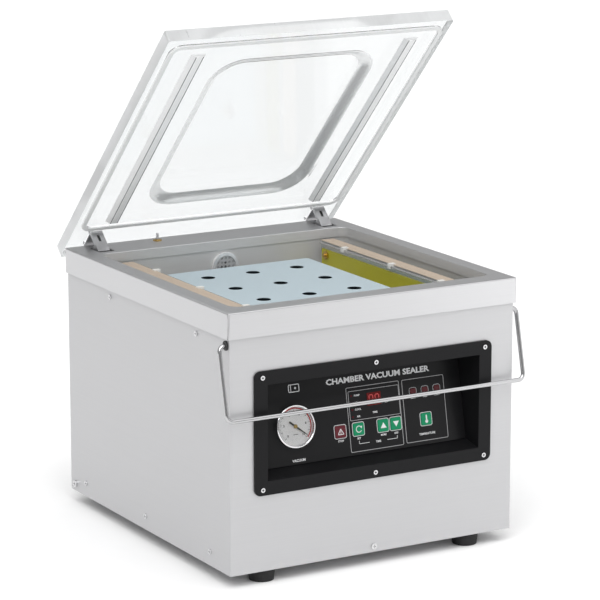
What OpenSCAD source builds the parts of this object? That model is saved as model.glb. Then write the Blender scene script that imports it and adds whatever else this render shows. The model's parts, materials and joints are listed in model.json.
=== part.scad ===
// Table-top chamber vacuum sealer, lid open.
// Millimetres, +X to the right along the front, +Y to the rear, +Z up.
// The origin is on the floor, under the middle of the cabinet.

/* [Cabinet] */
// Width over the side panels
body_w = 440; // [380:5:560]
// Depth over the front and rear panels
body_d = 480; // [420:5:600]
// Height of the deck's top face above the floor
deck_z = 374; // [340:2:460]
// Thickness of the sheet metal
sheet = 1.5; // [1:0.1:1.9]
// Height of the deck's skirt
skirt_h = 35.5; // [30:0.5:38]
// How far the skirt stands proud of the panels
skirt_proud = 3.5; // [2.5:0.1:4.5]
// Height of the flanges that stand up from the base tray
tray_flange = 32; // [26:1:40]
// Height of the rubber feet
foot_h = 18; // [14:1:26]
// Radius of a foot at its top
foot_r = 19; // [15:0.5:24]
// Distance from a foot's centre to the side panel's face
foot_inset_x = 59; // [30:1:80]
// Distance from a foot's centre to the front or rear face
foot_inset_y = 23; // [22:1:60]

/* [Chamber] */
// Flange between the chamber and the side of the cabinet
flange_side = 20; // [18:1:30]
// Flange between the chamber and the front of the cabinet
flange_front = 26; // [22:1:40]
// Flange between the chamber and the rear, where the hinges are
flange_rear = 64; // [60:1:80]
// Depth of the chamber from the deck to its floor
chamber_h = 64; // [54:1:80]
// Corner radius of the chamber
chamber_r = 15; // [8:1:30]
// Height of the deck's lip that goes down into the chamber
lip_h = 14; // [10:1:20]

/* [Lid] */
// Thickness of the clear lid
lid_t = 19; // [14:1:24]
// How far the lid is open in the model
lid_open = 45.6; // [20:0.2:60]
// Gap between the closed lid and the deck
lid_gap = 2.5; // [2:0.1:4]
// Depth of the pocket in the underside of the lid
pocket_depth = 9; // [4:0.5:12]
// Width of the pocket
pocket_w = 256; // [180:2:280]
// Length of the pocket, front to back
pocket_l = 328; // [240:2:360]
// Corner radius of the pocket
pocket_r = 46; // [20:1:60]
// Width of the gasket
gasket_w = 7; // [5:0.5:7.5]
// Distance from the chamber's edge to the middle of the gasket at the sides
gasket_out = 9.5; // [8:0.5:12]
// Distance from the chamber's rear edge to the middle of the gasket
gasket_out_rear = 5.5; // [4.5:0.5:6]
// Width of the pressure strips under the lid
strip_w = 23; // [16:1:26]
// How far each side of a pressure strip slopes in
strip_slope = 6; // [2:0.5:7]

/* [Seal bars] */
// Distance from the chamber's side to the inner face of a seal bar
bar_inset = 46; // [40:1:60]
// Width of a seal bar
bar_w = 21; // [14:1:24]
// Height of a seal bar
bar_h = 14; // [10:1:18]
// Distance from the deck down to a lowered bar's top
bar_drop = 13.6; // [12:0.2:16]
// How far the bars rise to seal
bar_lift = 10; // [6:0.5:10]
// Gap between each end of a seal bar and the chamber
bar_end_gap = 11; // [6:1:30]
// Thickness of the non-stick tape
tape_t = 0.4; // [0.3:0.05:0.6]
// Thickness of the heating ribbon
ribbon_t = 0.3; // [0.2:0.05:0.5]
// Radius of the bag rod
bag_rod_r = 1.75; // [1.2:0.05:2.2]
// Distance between the clips that hold the bag rod
clip_pitch = 129; // [80:1:150]
// Middle clip, measured from the middle of the cabinet
clip_mid = -34; // [-40:1:0]
// Radius of the rods that lift a bar
lift_rod_r = 5; // [3:0.5:6]
// Outer radius of a lift cylinder
lift_cyl_r = 18; // [14:1:22]
// Distance between the two lift rods of a bar
lift_pitch = 240; // [160:5:260]

/* [Spacer plate] */
// Width of the plate
plate_w = 234; // [160:2:260]
// Length of the plate, front to back
plate_l = 334; // [240:2:340]
// Thickness of the plate
plate_t = 12; // [8:1:16]
// Distance from the deck down to the plate's top
plate_drop = 32; // [28:1:38]
// Radius of the holes
air_hole_r = 10; // [6:0.5:14]
// Distance between the columns of holes
hole_pitch_x = 72; // [50:1:80]
// Distance between the rows of holes
hole_pitch_y = 80; // [50:1:84]
// Gap behind the plate
plate_rear_gap = 36; // [30:1:60]

/* [Control panel] */
// Width of the bezel
bezel_w = 369; // [360:1:374]
// Height of the bezel
bezel_h = 168.5; // [160:0.5:176]
// Thickness of the bezel's flange
bezel_t = 3; // [2:0.5:4]
// Distance from the deck down to the bezel's top edge
bezel_drop = 83; // [76:1:90]
// Width of the bezel's rim at the sides
rim_side = 19.5; // [17:0.5:24]
// Height of the bezel's rim, top and bottom
rim_end = 18.7; // [16:0.1:22]
// Wall of the control housing
house_t = 2; // [1.5:0.1:3]
// Depth of the recess at the foot of the control panel
recess_low = 24; // [16:1:30]
// Depth of the recess at the top of the control panel
recess_high = 46; // [34:1:50]
// How far the recess draws in at its sides
recess_draft = 5; // [2:0.5:5]
// Side of a square key
key_size = 16.5; // [12:0.5:17]
// Travel of a key
key_travel = 0.8; // [0.5:0.1:1.2]
// Radius of the gauge's case behind the panel
gauge_case_r = 27; // [20:0.5:28]
// Radius of the gauge's bright ring
gauge_ring_r = 29.5; // [24:0.5:30]

/* [Bail] */
// Radius of the bail's wire
wire_r = 3; // [2.5:0.1:3.2]
// Distance from the front face back to the bail's pivot
bail_back = 9; // [8.5:0.5:14]
// Distance from the deck down to the bail's pivot
bail_drop = 45; // [44:0.5:56]
// Length of the bail's legs
bail_len = 99.5; // [90:0.5:120]
// Angle of the resting bail, forward of straight down
bail_rest = 12.95; // [10:0.05:20]
// How far the bail's legs stand out from the side panels
bail_ear = 10.8; // [8:0.1:14]
// Bend radius at the wire's middle
bail_bend = 9; // [5:0.5:12]

/* [Hinges] */
// Distance from the rear face to the hinge line
hinge_in = 10; // [9.5:0.1:12]
// Distance from the deck down to the hinge line
hinge_drop = 24.5; // [22:0.5:28]
// Distance from the middle of the cabinet to the middle of a hinge strap
hinge_x = 183; // [150:1:183]
// Width of a hinge strap
strap_w = 18; // [14:1:20]
// Radius of the hinge pin
pin_r = 4; // [3:0.5:5]

/* [Fits] */
// Running clearance of shafts in bores, on the radius
run_fit = 0.05; // [0.02:0.01:0.09]
// Clearance round screws, inlets and fixed pipes
loose_fit = 0.2; // [0.1:0.05:0.3]
// Gap between faces that meet only at the end of a motion
soft_gap = 0.3; // [0.3:0.05:0.5]

/* [Hidden] */
$fn = 48;
eps = 1;

steel = [0.80, 0.80, 0.81];
deck_grey = [0.62, 0.62, 0.63];
black = [0.13, 0.13, 0.14];
clear = [0.85, 0.90, 0.93, 0.35];
brass = [0.80, 0.62, 0.28];

// Cabinet
side_x = body_w / 2;
front_y = -body_d / 2;
rear_y = body_d / 2;
inner_x = side_x - sheet;
inner_front = front_y + sheet;
inner_rear = rear_y - sheet;
deck_under = deck_z - sheet;
skirt_z = deck_z - skirt_h;
base_top = foot_h + sheet;
bend_r = 2.5;
tab_w = 24;
tab_z = deck_z - 60;
screw_high = deck_z - 45.5;
screw_low = foot_h + 20;
screw_r = 2;
head_r = 3.6;
head_h = 2.2;
side_high_ys = [104, -150];
side_low_ys = [-185, 3, 190];
rear_screw_x = hinge_x - 43;
rear_screw_z = screw_high - 2;
rear_screw_xs = [-rear_screw_x, 0, rear_screw_x];
foot_x = side_x - foot_inset_x;
foot_y = rear_y - foot_inset_y;
foot_screw_r = 3;
foot_recess = foot_h / 2;
front_screw_z = foot_h + 8;
earth_at = [rear_y - 16, foot_h + 11];
vent_x = 110;
vent_half_w = 42;
vent_h = 5;
vent_pitch = 12;

// Chamber
ch_x = side_x - flange_side;
ch_y0 = front_y + flange_front;
ch_y1 = rear_y - flange_rear;
ch_l = ch_y1 - ch_y0;
ch_mid = (ch_y0 + ch_y1) / 2;
floor_z = deck_z - chamber_h;
tub_y1 = ch_y1 + sheet;

// Hinge line, lid (all lid sizes are for the closed lid)
hinge_y = rear_y - hinge_in;
hinge_z = deck_z - hinge_drop;
lid_z = deck_z + lid_gap;
lid_x = side_x + 1.5;
lid_y0 = front_y - 4;
lid_y1 = rear_y + 7;
pocket_y = ch_mid - 6;
gasket_x = ch_x + gasket_out;
gasket_y0 = ch_y0 - 15;
gasket_y1 = ch_y1 + gasket_out_rear;
gasket_r = 14;
groove_h = 3;
strip_fit = 0.5;
strip_y0 = ch_y0 + 2;
strip_y1 = ch_y1 - 10;
strap_t = 2;
strap_y0 = ch_y1 + 14;
strap_y1 = lid_y1 - 5;
leg_z = hinge_z - 7;
strap_eye_r = 8;
cheek_t = 2.5;
ear_gap = 3.2;
ear_t = 2.5;
slot_y0 = strap_y0 - 2.5;
// Where the open strap's cheek passes the deck, measured forward of the hinge line
cheek_reach = (hinge_drop - strap_eye_r * cos(lid_open)) / sin(lid_open);
slot_y1 = hinge_y - cheek_reach * cos(lid_open) + strap_eye_r * sin(lid_open) + 4.8;
slot_x = strap_w / 2 + 3;
hinge_screw_ys = [strap_y0 + 16, strap_y1 - 10];
spring_r = 5.4;
spring_wire = 1;
spring_turns = 4;
spring_steps = 16;
spring_pitch = 2.4;

// Seal bars, drawn on the right
bar_in = ch_x - bar_inset;
bar_out = bar_in + bar_w;
bar_mid = bar_in + bar_w / 2;
bar_top = deck_z - bar_drop;
bar_face = bar_top - tape_t - ribbon_t;
bar_low = bar_top - bar_h;
bar_y0 = ch_y0 + bar_end_gap;
bar_y1 = ch_y1 - bar_end_gap;
board_t = 2;
board_in = bar_in - board_t;
board_top = bar_low + 3;
board_low = floor_z + 3;
rod_x = bar_in - 3.5;
rod_z = bar_top - 3;
clip_hook = 1.8;
clip_ys = [for (i = [-1:1]) clip_mid + i * clip_pitch];
lift_ys = [for (s = [-1, 1]) ch_mid + s * lift_pitch / 2];
piston_h = 6;
piston_z = floor_z - 34;
lift_cyl_z = piston_z - 12;
lift_roof = 4.5;
lift_wall = 3;
strip_x = bar_in + 0.5 + strip_w / 2;
strip_z = bar_top + bar_lift + strip_fit;

// Spacer plate
plate_z = deck_z - plate_drop;
plate_y1 = ch_y1 - plate_rear_gap;
plate_y0 = plate_y1 - plate_l;
plate_mid = (plate_y0 + plate_y1) / 2;

// Vacuum port, hose and pump
port_z = deck_z - 39;
port_r = 21.5;
port_hole = 16;
port_pipe_r = 12;
port_pipe_y = ch_y1 + 30;
barb_r = 9;
hose_r = 12;
pump_top = foot_h + 132;
pump_w = 120;
pump_y0 = port_pipe_y - 86;
pump_y1 = port_pipe_y + 17;
motor_r = 58;
motor_y = (pump_y0 + pump_y1) / 2;
motor_z = base_top + motor_r + 12;
motor_x1 = 158;
fan_x = motor_x1 + 10;
cowl_x1 = side_x - 20;
fan_shaft_r = 5;

// Air release valve under the chamber floor
valve_at = [84, 60];
valve_spigot_r = 6;

// Mains inlet and its rocker, on the rear panel
inlet_at = [-150, foot_h + 66];
inlet_w = 30;
inlet_h = 62;
inlet_rim = 3;
rocker_up = 17;
rocker_pivot_y = rear_y - 3;
rocker_pin_r = 1.5;
rocker_half_w = 9.5;
rocker_well = 10.8;

// Lid switch
switch_x = -86;
switch_y = rear_y - 19;
plunger_r = 2;
plunger_up = 11.6;
bush_r = 5;

// Control housing: the cavity is drafted, and the panel leans back
bez_z1 = deck_z - bezel_drop;
bez_z0 = bez_z1 - bezel_h;
rec_x = bezel_w / 2 - rim_side;
rec_z0 = bez_z0 + rim_end;
rec_z1 = bez_z1 - rim_end;
rec_foot_y = front_y + recess_low;
rec_head_y = front_y + recess_high;
rec_foot_z = rec_z0 + 8;
rec_head_z = rec_z1 - 5.5;
panel_tilt = atan2(recess_high - recess_low, rec_head_z - rec_foot_z);
panel_h = norm([recess_high - recess_low, rec_head_z - rec_foot_z]);
panel_w = 2 * (rec_x - recess_draft) - 1;
panel_t = 2;
house_back = -house_t * cos(panel_tilt);
bezel_screw_x = bezel_w / 2 - 11.5;
key_gap = 0.3;
key_proud = 1.5;
key_row = 35;
key_xs = [-36, -7.7, 31, 51, 99.7];
lamp_row = 75;
lamp_xs = [82.7, 101.7, 120.7];
display_at = [20.5, 73];
display_size = [22, 17.5];
status_ys = [80.5, 71, 61.5, 52];
gauge_at = [-105.6, 51.6];
gauge_h = 7;
gauge_dish = 3.4;
needle_shaft_r = 1.5;
needle_angle = -38;
board_off = 14;
board_at = [52, 58];
board_size = [150, 92];

// Bail
bail_y = front_y + bail_back;
bail_z = deck_z - bail_drop;
bail_x = side_x + bail_ear;
bail_end_x = side_x - 10;
bush_wall = 2;
bush_flange_r = 6.5;

// ---------------------------------------------------------------- helpers

// A box from its low corner to its high corner
module box(low, high) {
    translate(low) cube(high - low);
}

// A rounded rectangle about the origin
module round_rect(w, l, r) {
    square([w - 2 * r, l], center = true);
    square([w, l - 2 * r], center = true);
    for (x = [-1, 1], y = [-1, 1])
        translate([x * (w / 2 - r), y * (l / 2 - r)]) circle(r);
}

// An upright slab with rounded corners
module round_slab(w, l, r, z0, z1) {
    translate([0, 0, z0]) linear_extrude(z1 - z0) round_rect(w, l, r);
}

// A profile drawn in Y and Z, and drawn out along X
module along_x(length) {
    rotate([90, 0, 90]) linear_extrude(length, center = true) children();
}

// A rod along X
module rod_x(r, x0, x1) {
    translate([x0, 0, 0]) rotate([0, 90, 0]) cylinder(r = r, h = x1 - x0);
}

// A rod along Y
module rod_y(r, y0, y1) {
    translate([0, y0, 0]) rotate([-90, 0, 0]) cylinder(r = r, h = y1 - y0);
}

// A box whose upright and top edges are rounded
module soft_box(low, high, r_side, r_top) {
    w = high.x - low.x;
    l = high.y - low.y;
    h = high.z - low.z;
    mid = (low + high) / 2;
    intersection() {
        translate([mid.x, mid.y, 0]) round_slab(w, l, r_side, low.z, high.z);
        translate([mid.x, mid.y, low.z])
            rotate([90, 0, 0]) linear_extrude(l + 2 * eps, center = true) topped(w, h, r_top);
        translate([mid.x, mid.y, low.z]) along_x(w + 2 * eps) topped(l, h, r_top);
    }
}

// A rectangle standing on the X axis with its two upper corners rounded
module topped(w, h, r) {
    translate([-w / 2, 0]) square([w, h - r]);
    translate([-w / 2 + r, 0]) square([w - 2 * r, h]);
    for (s = [-1, 1]) translate([s * (w / 2 - r), h - r]) circle(r);
}

// A pan-head screw: the head's seat is at z = 0, and the shank points down
module screw(shank_r, length, cap_r, cap_h) {
    difference() {
        cylinder(r = cap_r, h = cap_h);
        for (a = [0, 90]) rotate(a)
            translate([-cap_r * 0.6, -0.4, cap_h * 0.5]) cube([cap_r * 1.2, 0.8, cap_h]);
    }
    translate([0, 0, -length]) cylinder(r = shank_r, h = length);
}

// Children placed with the lid's opening angle
module on_open_lid() {
    translate([0, hinge_y, hinge_z]) rotate([-lid_open, 0, 0])
        translate([0, -hinge_y, -hinge_z]) children();
}

// Children placed in the control panel's own frame: X across, Y up the slope, Z outwards
module on_panel() {
    translate([0, rec_foot_y, rec_foot_z]) rotate([90 - panel_tilt, 0, 0]) children();
}

// ---------------------------------------------------------------- cabinet

// Holes for the side screws, or anything else drawn along X at those places
module at_side_screws() {
    for (y = side_high_ys) translate([0, y, screw_high]) children();
    for (y = side_low_ys) translate([0, y, screw_low]) children();
}

// Places of the rear panel's screws
module at_rear_screws() {
    for (x = rear_screw_xs, z = [screw_low, rear_screw_z]) translate([x, 0, z]) children();
}

// Slots, lip and bores are cut in one sheet-metal deck with a skirt all round
module top_deck() {
    color(deck_grey) difference() {
        union() {
            difference() {
                soft_box([-side_x - skirt_proud, front_y - skirt_proud, skirt_z],
                         [side_x + skirt_proud, rear_y + sheet + 0.1, deck_z], bend_r, bend_r);
                box([-side_x - skirt_proud + sheet, front_y - skirt_proud + sheet, skirt_z - eps],
                    [side_x + skirt_proud - sheet, rear_y + 0.1, deck_under]);
            }
            translate([0, ch_mid, 0])
                round_slab(2 * (ch_x + sheet), ch_l + 2 * sheet, chamber_r + sheet,
                           deck_z - lip_h, deck_under + sheet / 2);
            for (s = [-1, 1], y = side_high_ys)
                translate([s * (inner_x - sheet / 2), y, 0])
                    box([-sheet / 2, -tab_w / 2, tab_z], [sheet / 2, tab_w / 2, deck_under + sheet / 2]);
            for (x = rear_screw_xs)
                translate([x, inner_rear - sheet, 0])
                    box([-tab_w / 2, 0, tab_z], [tab_w / 2, sheet, deck_under + sheet / 2]);
        }
        translate([0, ch_mid, 0])
            round_slab(2 * ch_x, ch_l, chamber_r, deck_z - lip_h - eps, deck_z + eps);
        for (s = [-1, 1]) translate([s * hinge_x, 0, 0])
            box([-slot_x, slot_y0, deck_under - eps], [slot_x, slot_y1, deck_z + eps]);
        translate([switch_x, switch_y, deck_under - eps])
            cylinder(r = bush_r + loose_fit, h = sheet + 2 * eps);
        for (y = side_high_ys, s = [-1, 1]) translate([s * (inner_x - sheet / 2), y, screw_high])
            rod_x(screw_r + loose_fit, -sheet, sheet);
        for (x = rear_screw_xs) translate([x, inner_rear - sheet / 2, rear_screw_z])
            rod_y(screw_r + loose_fit, -sheet, sheet);
    }
}

// The welded tub hangs on the outside of the deck's lip
module chamber_tub() {
    inner_w = 2 * (ch_x + sheet);
    inner_l = ch_l + 2 * sheet;
    inner_r = chamber_r + sheet;
    color(steel) difference() {
        translate([0, ch_mid, 0])
            round_slab(inner_w + 2 * sheet, inner_l + 2 * sheet, inner_r + sheet,
                       floor_z - sheet, deck_under);
        translate([0, ch_mid, 0]) round_slab(inner_w, inner_l, inner_r, floor_z, deck_under + eps);
        for (x = [-bar_mid, bar_mid], y = lift_ys) translate([x, y, floor_z - sheet - eps])
            cylinder(r = lift_rod_r + loose_fit, h = sheet + 2 * eps);
        translate([0, 0, port_z]) rod_y(port_pipe_r + loose_fit, ch_y1, tub_y1 + sheet + eps);
        translate([valve_at.x, valve_at.y, floor_z - sheet - eps])
            cylinder(r = valve_spigot_r + loose_fit, h = sheet + 2 * eps);
    }
}

module front_panel() {
    fit = house_t + loose_fit;
    color(steel) difference() {
        box([-side_x, front_y, foot_h], [side_x, inner_front, deck_under]);
        box([-rec_x - fit, front_y - eps, rec_z0 - fit], [rec_x + fit, inner_front + eps, rec_z1 + fit]);
        at_bezel_screws() rod_y(screw_r + loose_fit, front_y - eps, inner_front + eps);
        translate([0, 0, front_screw_z]) rod_y(screw_r + loose_fit, front_y - eps, inner_front + eps);
    }
}

// Sheet that closes one side, drawn on the right
module side_sheet() {
    difference() {
        box([inner_x, inner_front, foot_h], [side_x, inner_rear, deck_under]);
        at_side_screws() rod_x(screw_r + loose_fit, inner_x - eps, side_x + eps);
        translate([0, bail_y, bail_z]) rod_x(bush_r + loose_fit, inner_x - eps, side_x + eps);
    }
}

module side_panel_right() {
    color(steel) side_sheet();
}

module side_panel_left() {
    color(steel) difference() {
        mirror([1, 0, 0]) side_sheet();
        translate([0, earth_at.x, earth_at.y]) rod_x(screw_r + loose_fit, -side_x - eps, eps - inner_x);
    }
}

module rear_panel() {
    color(steel) difference() {
        box([-side_x, inner_rear, foot_h], [side_x, rear_y, deck_under]);
        at_rear_screws() rod_y(screw_r + loose_fit, inner_rear - eps, rear_y + eps);
        for (i = [0:7]) translate([vent_x, 0, foot_h + 42 + i * vent_pitch])
            box([-vent_half_w, inner_rear - eps, -vent_h / 2], [vent_half_w, rear_y + eps, vent_h / 2]);
        translate([inlet_at.x, 0, inlet_at.y])
            box([-inlet_w / 2 - loose_fit, inner_rear - eps, -inlet_h / 2 - loose_fit],
                [inlet_w / 2 + loose_fit, rear_y + eps, inlet_h / 2 + loose_fit]);
    }
}

module base_tray() {
    color(steel) difference() {
        box([-inner_x, inner_front, foot_h], [inner_x, inner_rear, foot_h + tray_flange]);
        box([-inner_x + sheet, inner_front + sheet, base_top],
            [inner_x - sheet, inner_rear - sheet, foot_h + tray_flange + eps]);
        for (y = side_low_ys) translate([0, y, screw_low])
            rod_x(screw_r + loose_fit, -inner_x - eps, inner_x + eps);
        for (x = rear_screw_xs) translate([x, 0, screw_low])
            rod_y(screw_r + loose_fit, inner_rear - 2 * sheet, inner_rear + eps);
        translate([0, 0, front_screw_z])
            rod_y(screw_r + loose_fit, inner_front - eps, inner_front + 2 * sheet);
        at_feet() translate([0, 0, foot_h - eps])
            cylinder(r = foot_screw_r + loose_fit, h = sheet + 2 * eps);
        translate([0, earth_at.x, earth_at.y])
            rod_x(screw_r + loose_fit, -inner_x - eps, 2 * sheet - inner_x);
        for (i = [-3:3]) translate([i * 24 - 60, -120, 0])
            box([-3, -30, foot_h - eps], [3, 30, base_top + eps]);
    }
}

module at_feet() {
    for (x = [-foot_x, foot_x], y = [-foot_y, foot_y]) translate([x, y, 0]) children();
}

module feet() {
    color(black) at_feet() difference() {
        cylinder(r1 = foot_r - 2, r2 = foot_r, h = foot_h);
        translate([0, 0, -eps]) cylinder(r = 7, h = foot_recess + eps);
        cylinder(r = foot_screw_r + loose_fit, h = foot_h + eps);
    }
}

module at_bezel_screws() {
    for (x = [-bezel_screw_x, 0, bezel_screw_x], z = [bez_z0 + 8, bez_z1 - 8.5])
        translate([x, 0, z]) children();
}

// All the fasteners of the cabinet, each a separate solid
module cabinet_screws() {
    length = 7;
    color(steel) {
        at_side_screws() for (s = [-1, 1])
            translate([s * side_x, 0, 0]) rotate([0, s * 90, 0]) screw(screw_r, length, head_r, head_h);
        at_rear_screws() translate([0, rear_y, 0])
            rotate([-90, 0, 0]) screw(screw_r, length, head_r, head_h);
        translate([0, front_y, front_screw_z])
            rotate([90, 0, 0]) screw(screw_r, length, head_r + 0.9, head_h);
        at_bezel_screws() translate([0, front_y - bezel_t, 0])
            rotate([90, 0, 0]) screw(screw_r, length, head_r - 0.4, 1.6);
        at_feet() {
            translate([0, 0, foot_recess]) mirror([0, 0, 1])
                screw(foot_screw_r, foot_h - foot_recess + 8, 5.5, 4);
        }
        translate([-side_x, earth_at.x, earth_at.y])
            rotate([0, -90, 0]) screw(screw_r, length, head_r + 1.4, head_h + 1);
    }
}

// ---------------------------------------------------------------- control panel

// The recess as a solid, grown by g on every face but the front
module recess(g, front) {
    lean = g * tan(panel_tilt);
    intersection() {
        along_x(2 * (rec_x + g) + eps)
            polygon([[front, rec_z0 - g], [rec_foot_y + g - lean, rec_foot_z - g],
                     [rec_head_y + g + lean, rec_head_z + g], [front, rec_z1 + g]]);
        translate([0, 0, rec_z0 - 2 * g - eps]) linear_extrude(rec_z1 - rec_z0 + 4 * g + 2 * eps)
            polygon([[-rec_x - g, front], [rec_x + g, front],
                     [rec_x + g - recess_draft, rec_head_y + 2 * g],
                     [-rec_x - g + recess_draft, rec_head_y + 2 * g]]);
    }
}

module control_housing() {
    color(black) difference() {
        union() {
            translate([0, front_y, (bez_z0 + bez_z1) / 2]) rotate([90, 0, 0])
                linear_extrude(bezel_t) round_rect(bezel_w, bezel_h, 9);
            recess(house_t, front_y - eps / 2);
        }
        recess(0, front_y - bezel_t - eps);
        at_bezel_screws() rod_y(screw_r + loose_fit, front_y - bezel_t - eps, front_y + eps);
        on_panel() translate([gauge_at.x, gauge_at.y, -2 * house_t])
            cylinder(r = gauge_case_r + loose_fit, h = 4 * house_t);
    }
}

module control_panel() {
    color(black) on_panel() difference() {
        translate([-panel_w / 2, 0.3, 0]) cube([panel_w, panel_h - 0.6, panel_t]);
        translate([gauge_at.x, gauge_at.y, -eps])
            cylinder(r = gauge_case_r + loose_fit, h = panel_t + 2 * eps);
        for (x = key_xs) translate([x, key_row, panel_t / 2])
            cube([key_size + 2 * key_gap, key_size + 2 * key_gap, panel_t + 2 * eps], center = true);
    }
}

// One key cap in its well, raised a little above the panel
module key(index) {
    back = key_travel + 0.2;
    on_panel() translate([key_xs[index], key_row, back])
        linear_extrude(panel_t + key_proud - back) round_rect(key_size, key_size, 2);
}

module stop_key() { color([0.45, 0.12, 0.16]) key(0); }
module set_key() { color([0.04, 0.58, 0.36]) key(1); }
module up_key() { color([0.04, 0.58, 0.36]) key(2); }
module down_key() { color([0.04, 0.58, 0.36]) key(3); }
module temperature_key() { color([0.04, 0.58, 0.36]) key(4); }

module display_window() {
    color([0.45, 0.08, 0.08]) on_panel() translate([display_at.x, display_at.y, panel_t])
        linear_extrude(0.8) round_rect(display_size.x, display_size.y, 1);
}

module indicator_lamps() {
    color([0.35, 0.08, 0.10]) on_panel() translate([0, 0, panel_t]) {
        for (x = lamp_xs) translate([x, lamp_row, 0])
            linear_extrude(1) round_rect(9.5, 8, 2.5);
        for (y = status_ys) translate([-14.5, y, 0]) cylinder(r = 1.5, h = 0.8);
    }
}

// The gauge is a dish with a bright ring, on a case behind the panel
module gauge_case() {
    color(steel) on_panel() translate([gauge_at.x, gauge_at.y, 0]) difference() {
        union() {
            translate([0, 0, -26]) cylinder(r = gauge_case_r, h = 26 + panel_t);
            translate([0, 0, panel_t]) cylinder(r = gauge_ring_r, h = gauge_h);
            translate([0, 0, -38]) cylinder(r = 6, h = 14);
        }
        translate([0, 0, gauge_dish]) cylinder(r = gauge_ring_r - 3.2, h = gauge_h + eps);
        translate([0, 0, panel_t + gauge_h - 2]) cylinder(r = gauge_ring_r - 2.4, h = 2 + eps);
        translate([0, 0, -3]) cylinder(r = needle_shaft_r + run_fit, h = 10);
    }
}

module gauge_dial() {
    color("white") on_panel() translate([gauge_at.x, gauge_at.y, gauge_dish]) difference() {
        cylinder(r = gauge_ring_r - 3.4, h = 0.6);
        translate([0, 0, -eps]) cylinder(r = needle_shaft_r + 0.3, h = 1 + eps * 2);
    }
}

module gauge_needle() {
    color(brass) on_panel() translate([gauge_at.x, gauge_at.y, gauge_dish + 1.1]) rotate(needle_angle) {
        cylinder(r = 2.8, h = 1.6);
        translate([0, 0, 0.4]) linear_extrude(0.6)
            polygon([[-11, -1.1], [0, -1.1], [21, -0.25], [21, 0.25], [0, 1.1], [-11, 1.1]]);
        translate([0, 0, -6]) cylinder(r = needle_shaft_r, h = 6.2);
    }
}

module gauge_lens() {
    color(clear) on_panel() translate([gauge_at.x, gauge_at.y, panel_t + gauge_h - 2])
        cylinder(r = gauge_ring_r - 2.6, h = 1.2);
}

module control_board() {
    color([0.10, 0.38, 0.20]) on_panel() {
        translate([board_at.x, board_at.y, -board_off - 1.6 / 2])
            cube([board_size.x, board_size.y, 1.6], center = true);
        for (x = [-1, 1], y = [-1, 1])
            translate([board_at.x + x * (board_size.x / 2 - 5),
                       board_at.y + y * (board_size.y / 2 - 5), -board_off])
                cylinder(r = 3, h = board_off + house_back);
        for (x = [20, 45, 70]) translate([x, 30, -board_off - 1.6 - 14]) cube([18, 14, 14.1]);
        translate([100, 60, -board_off - 1.6 - 10]) cube([16, 30, 10.1]);
    }
}

// ---------------------------------------------------------------- bail

module bail_bushes() {
    color(black) for (s = [-1, 1]) translate([0, bail_y, bail_z]) mirror([s < 0 ? 1 : 0, 0, 0])
        difference() {
            union() {
                rod_x(bush_r, bail_end_x - 3, side_x + eps / 2);
                rod_x(bush_flange_r, side_x, side_x + bush_wall);
            }
            rod_x(wire_r + run_fit, bail_end_x - 4, side_x + bush_wall + eps);
        }
}

// A quarter bend of the wire from +X round to -Y, about the origin
module wire_bend() {
    rotate_extrude(angle = 90) translate([bail_bend, 0]) circle(wire_r);
}

// The bail is drawn in its own plane: X across, Y up the legs to the pivot
module bail() {
    leg = bail_x - bail_bend;
    color(steel) translate([0, bail_y, bail_z]) rotate([90 - bail_rest, 0, 0]) {
        for (s = [0, 1]) mirror([s, 0, 0]) {
            rod_x(wire_r, bail_end_x, leg);
            translate([leg, -bail_bend, 0]) wire_bend();
            translate([bail_x, bail_bend - bail_len, 0])
                rod_y(wire_r, 0, bail_len - 2 * bail_bend);
            translate([leg, bail_bend - bail_len, 0]) rotate(-90) wire_bend();
        }
        translate([0, -bail_len, 0]) rod_x(wire_r, -leg, leg);
    }
}

// ---------------------------------------------------------------- hinges and lid

module at_hinges() {
    for (x = [-hinge_x, hinge_x]) translate([x, 0, 0]) children();
}

module hinge_brackets() {
    ear_x = strap_w / 2 + ear_gap;
    color(steel) at_hinges() for (s = [0, 1]) mirror([s, 0, 0]) difference() {
        union() {
            box([ear_x, hinge_y - 8, hinge_z - 10], [ear_x + ear_t, inner_rear, deck_under]);
            box([ear_x, slot_y1 + 1, deck_under - ear_t], [ear_x + 12, inner_rear, deck_under]);
        }
        translate([0, hinge_y, hinge_z]) rod_x(pin_r + run_fit, ear_x - eps, ear_x + 13);
    }
}

module hinge_pins() {
    half = strap_w / 2 + ear_gap + ear_t + 1.5;
    color(steel) at_hinges() translate([0, hinge_y, hinge_z]) rod_x(pin_r, -half, half);
}

// One point of the spring's centre line, and one ring of its wire there
function spring_mid(i) = [
    (i / spring_steps - spring_turns / 2) * spring_pitch,
    spring_r * cos(360 * i / spring_steps),
    spring_r * sin(360 * i / spring_steps)
];
function spring_ring(i) = [for (k = [0:5])
    let (a = 360 * i / spring_steps, r = spring_r + spring_wire * cos(60 * k), p = spring_mid(i))
        [p.x + spring_wire * sin(60 * k), r * cos(a), r * sin(a)]
];

// Torsion spring that helps the lid up, coiled round the hinge pin
module lid_springs() {
    n = spring_turns * spring_steps;
    points = [for (i = [0:n]) each spring_ring(i)];
    sides = [for (i = [0:n - 1], k = [0:5])
        [6 * i + k, 6 * i + (k + 1) % 6, 6 * (i + 1) + (k + 1) % 6, 6 * (i + 1) + k]];
    caps = [[for (k = [5:-1:0]) k], [for (k = [0:5]) 6 * n + k]];
    color(steel) at_hinges() translate([0, hinge_y, hinge_z]) polyhedron(points, concat(sides, caps));
}

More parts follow.
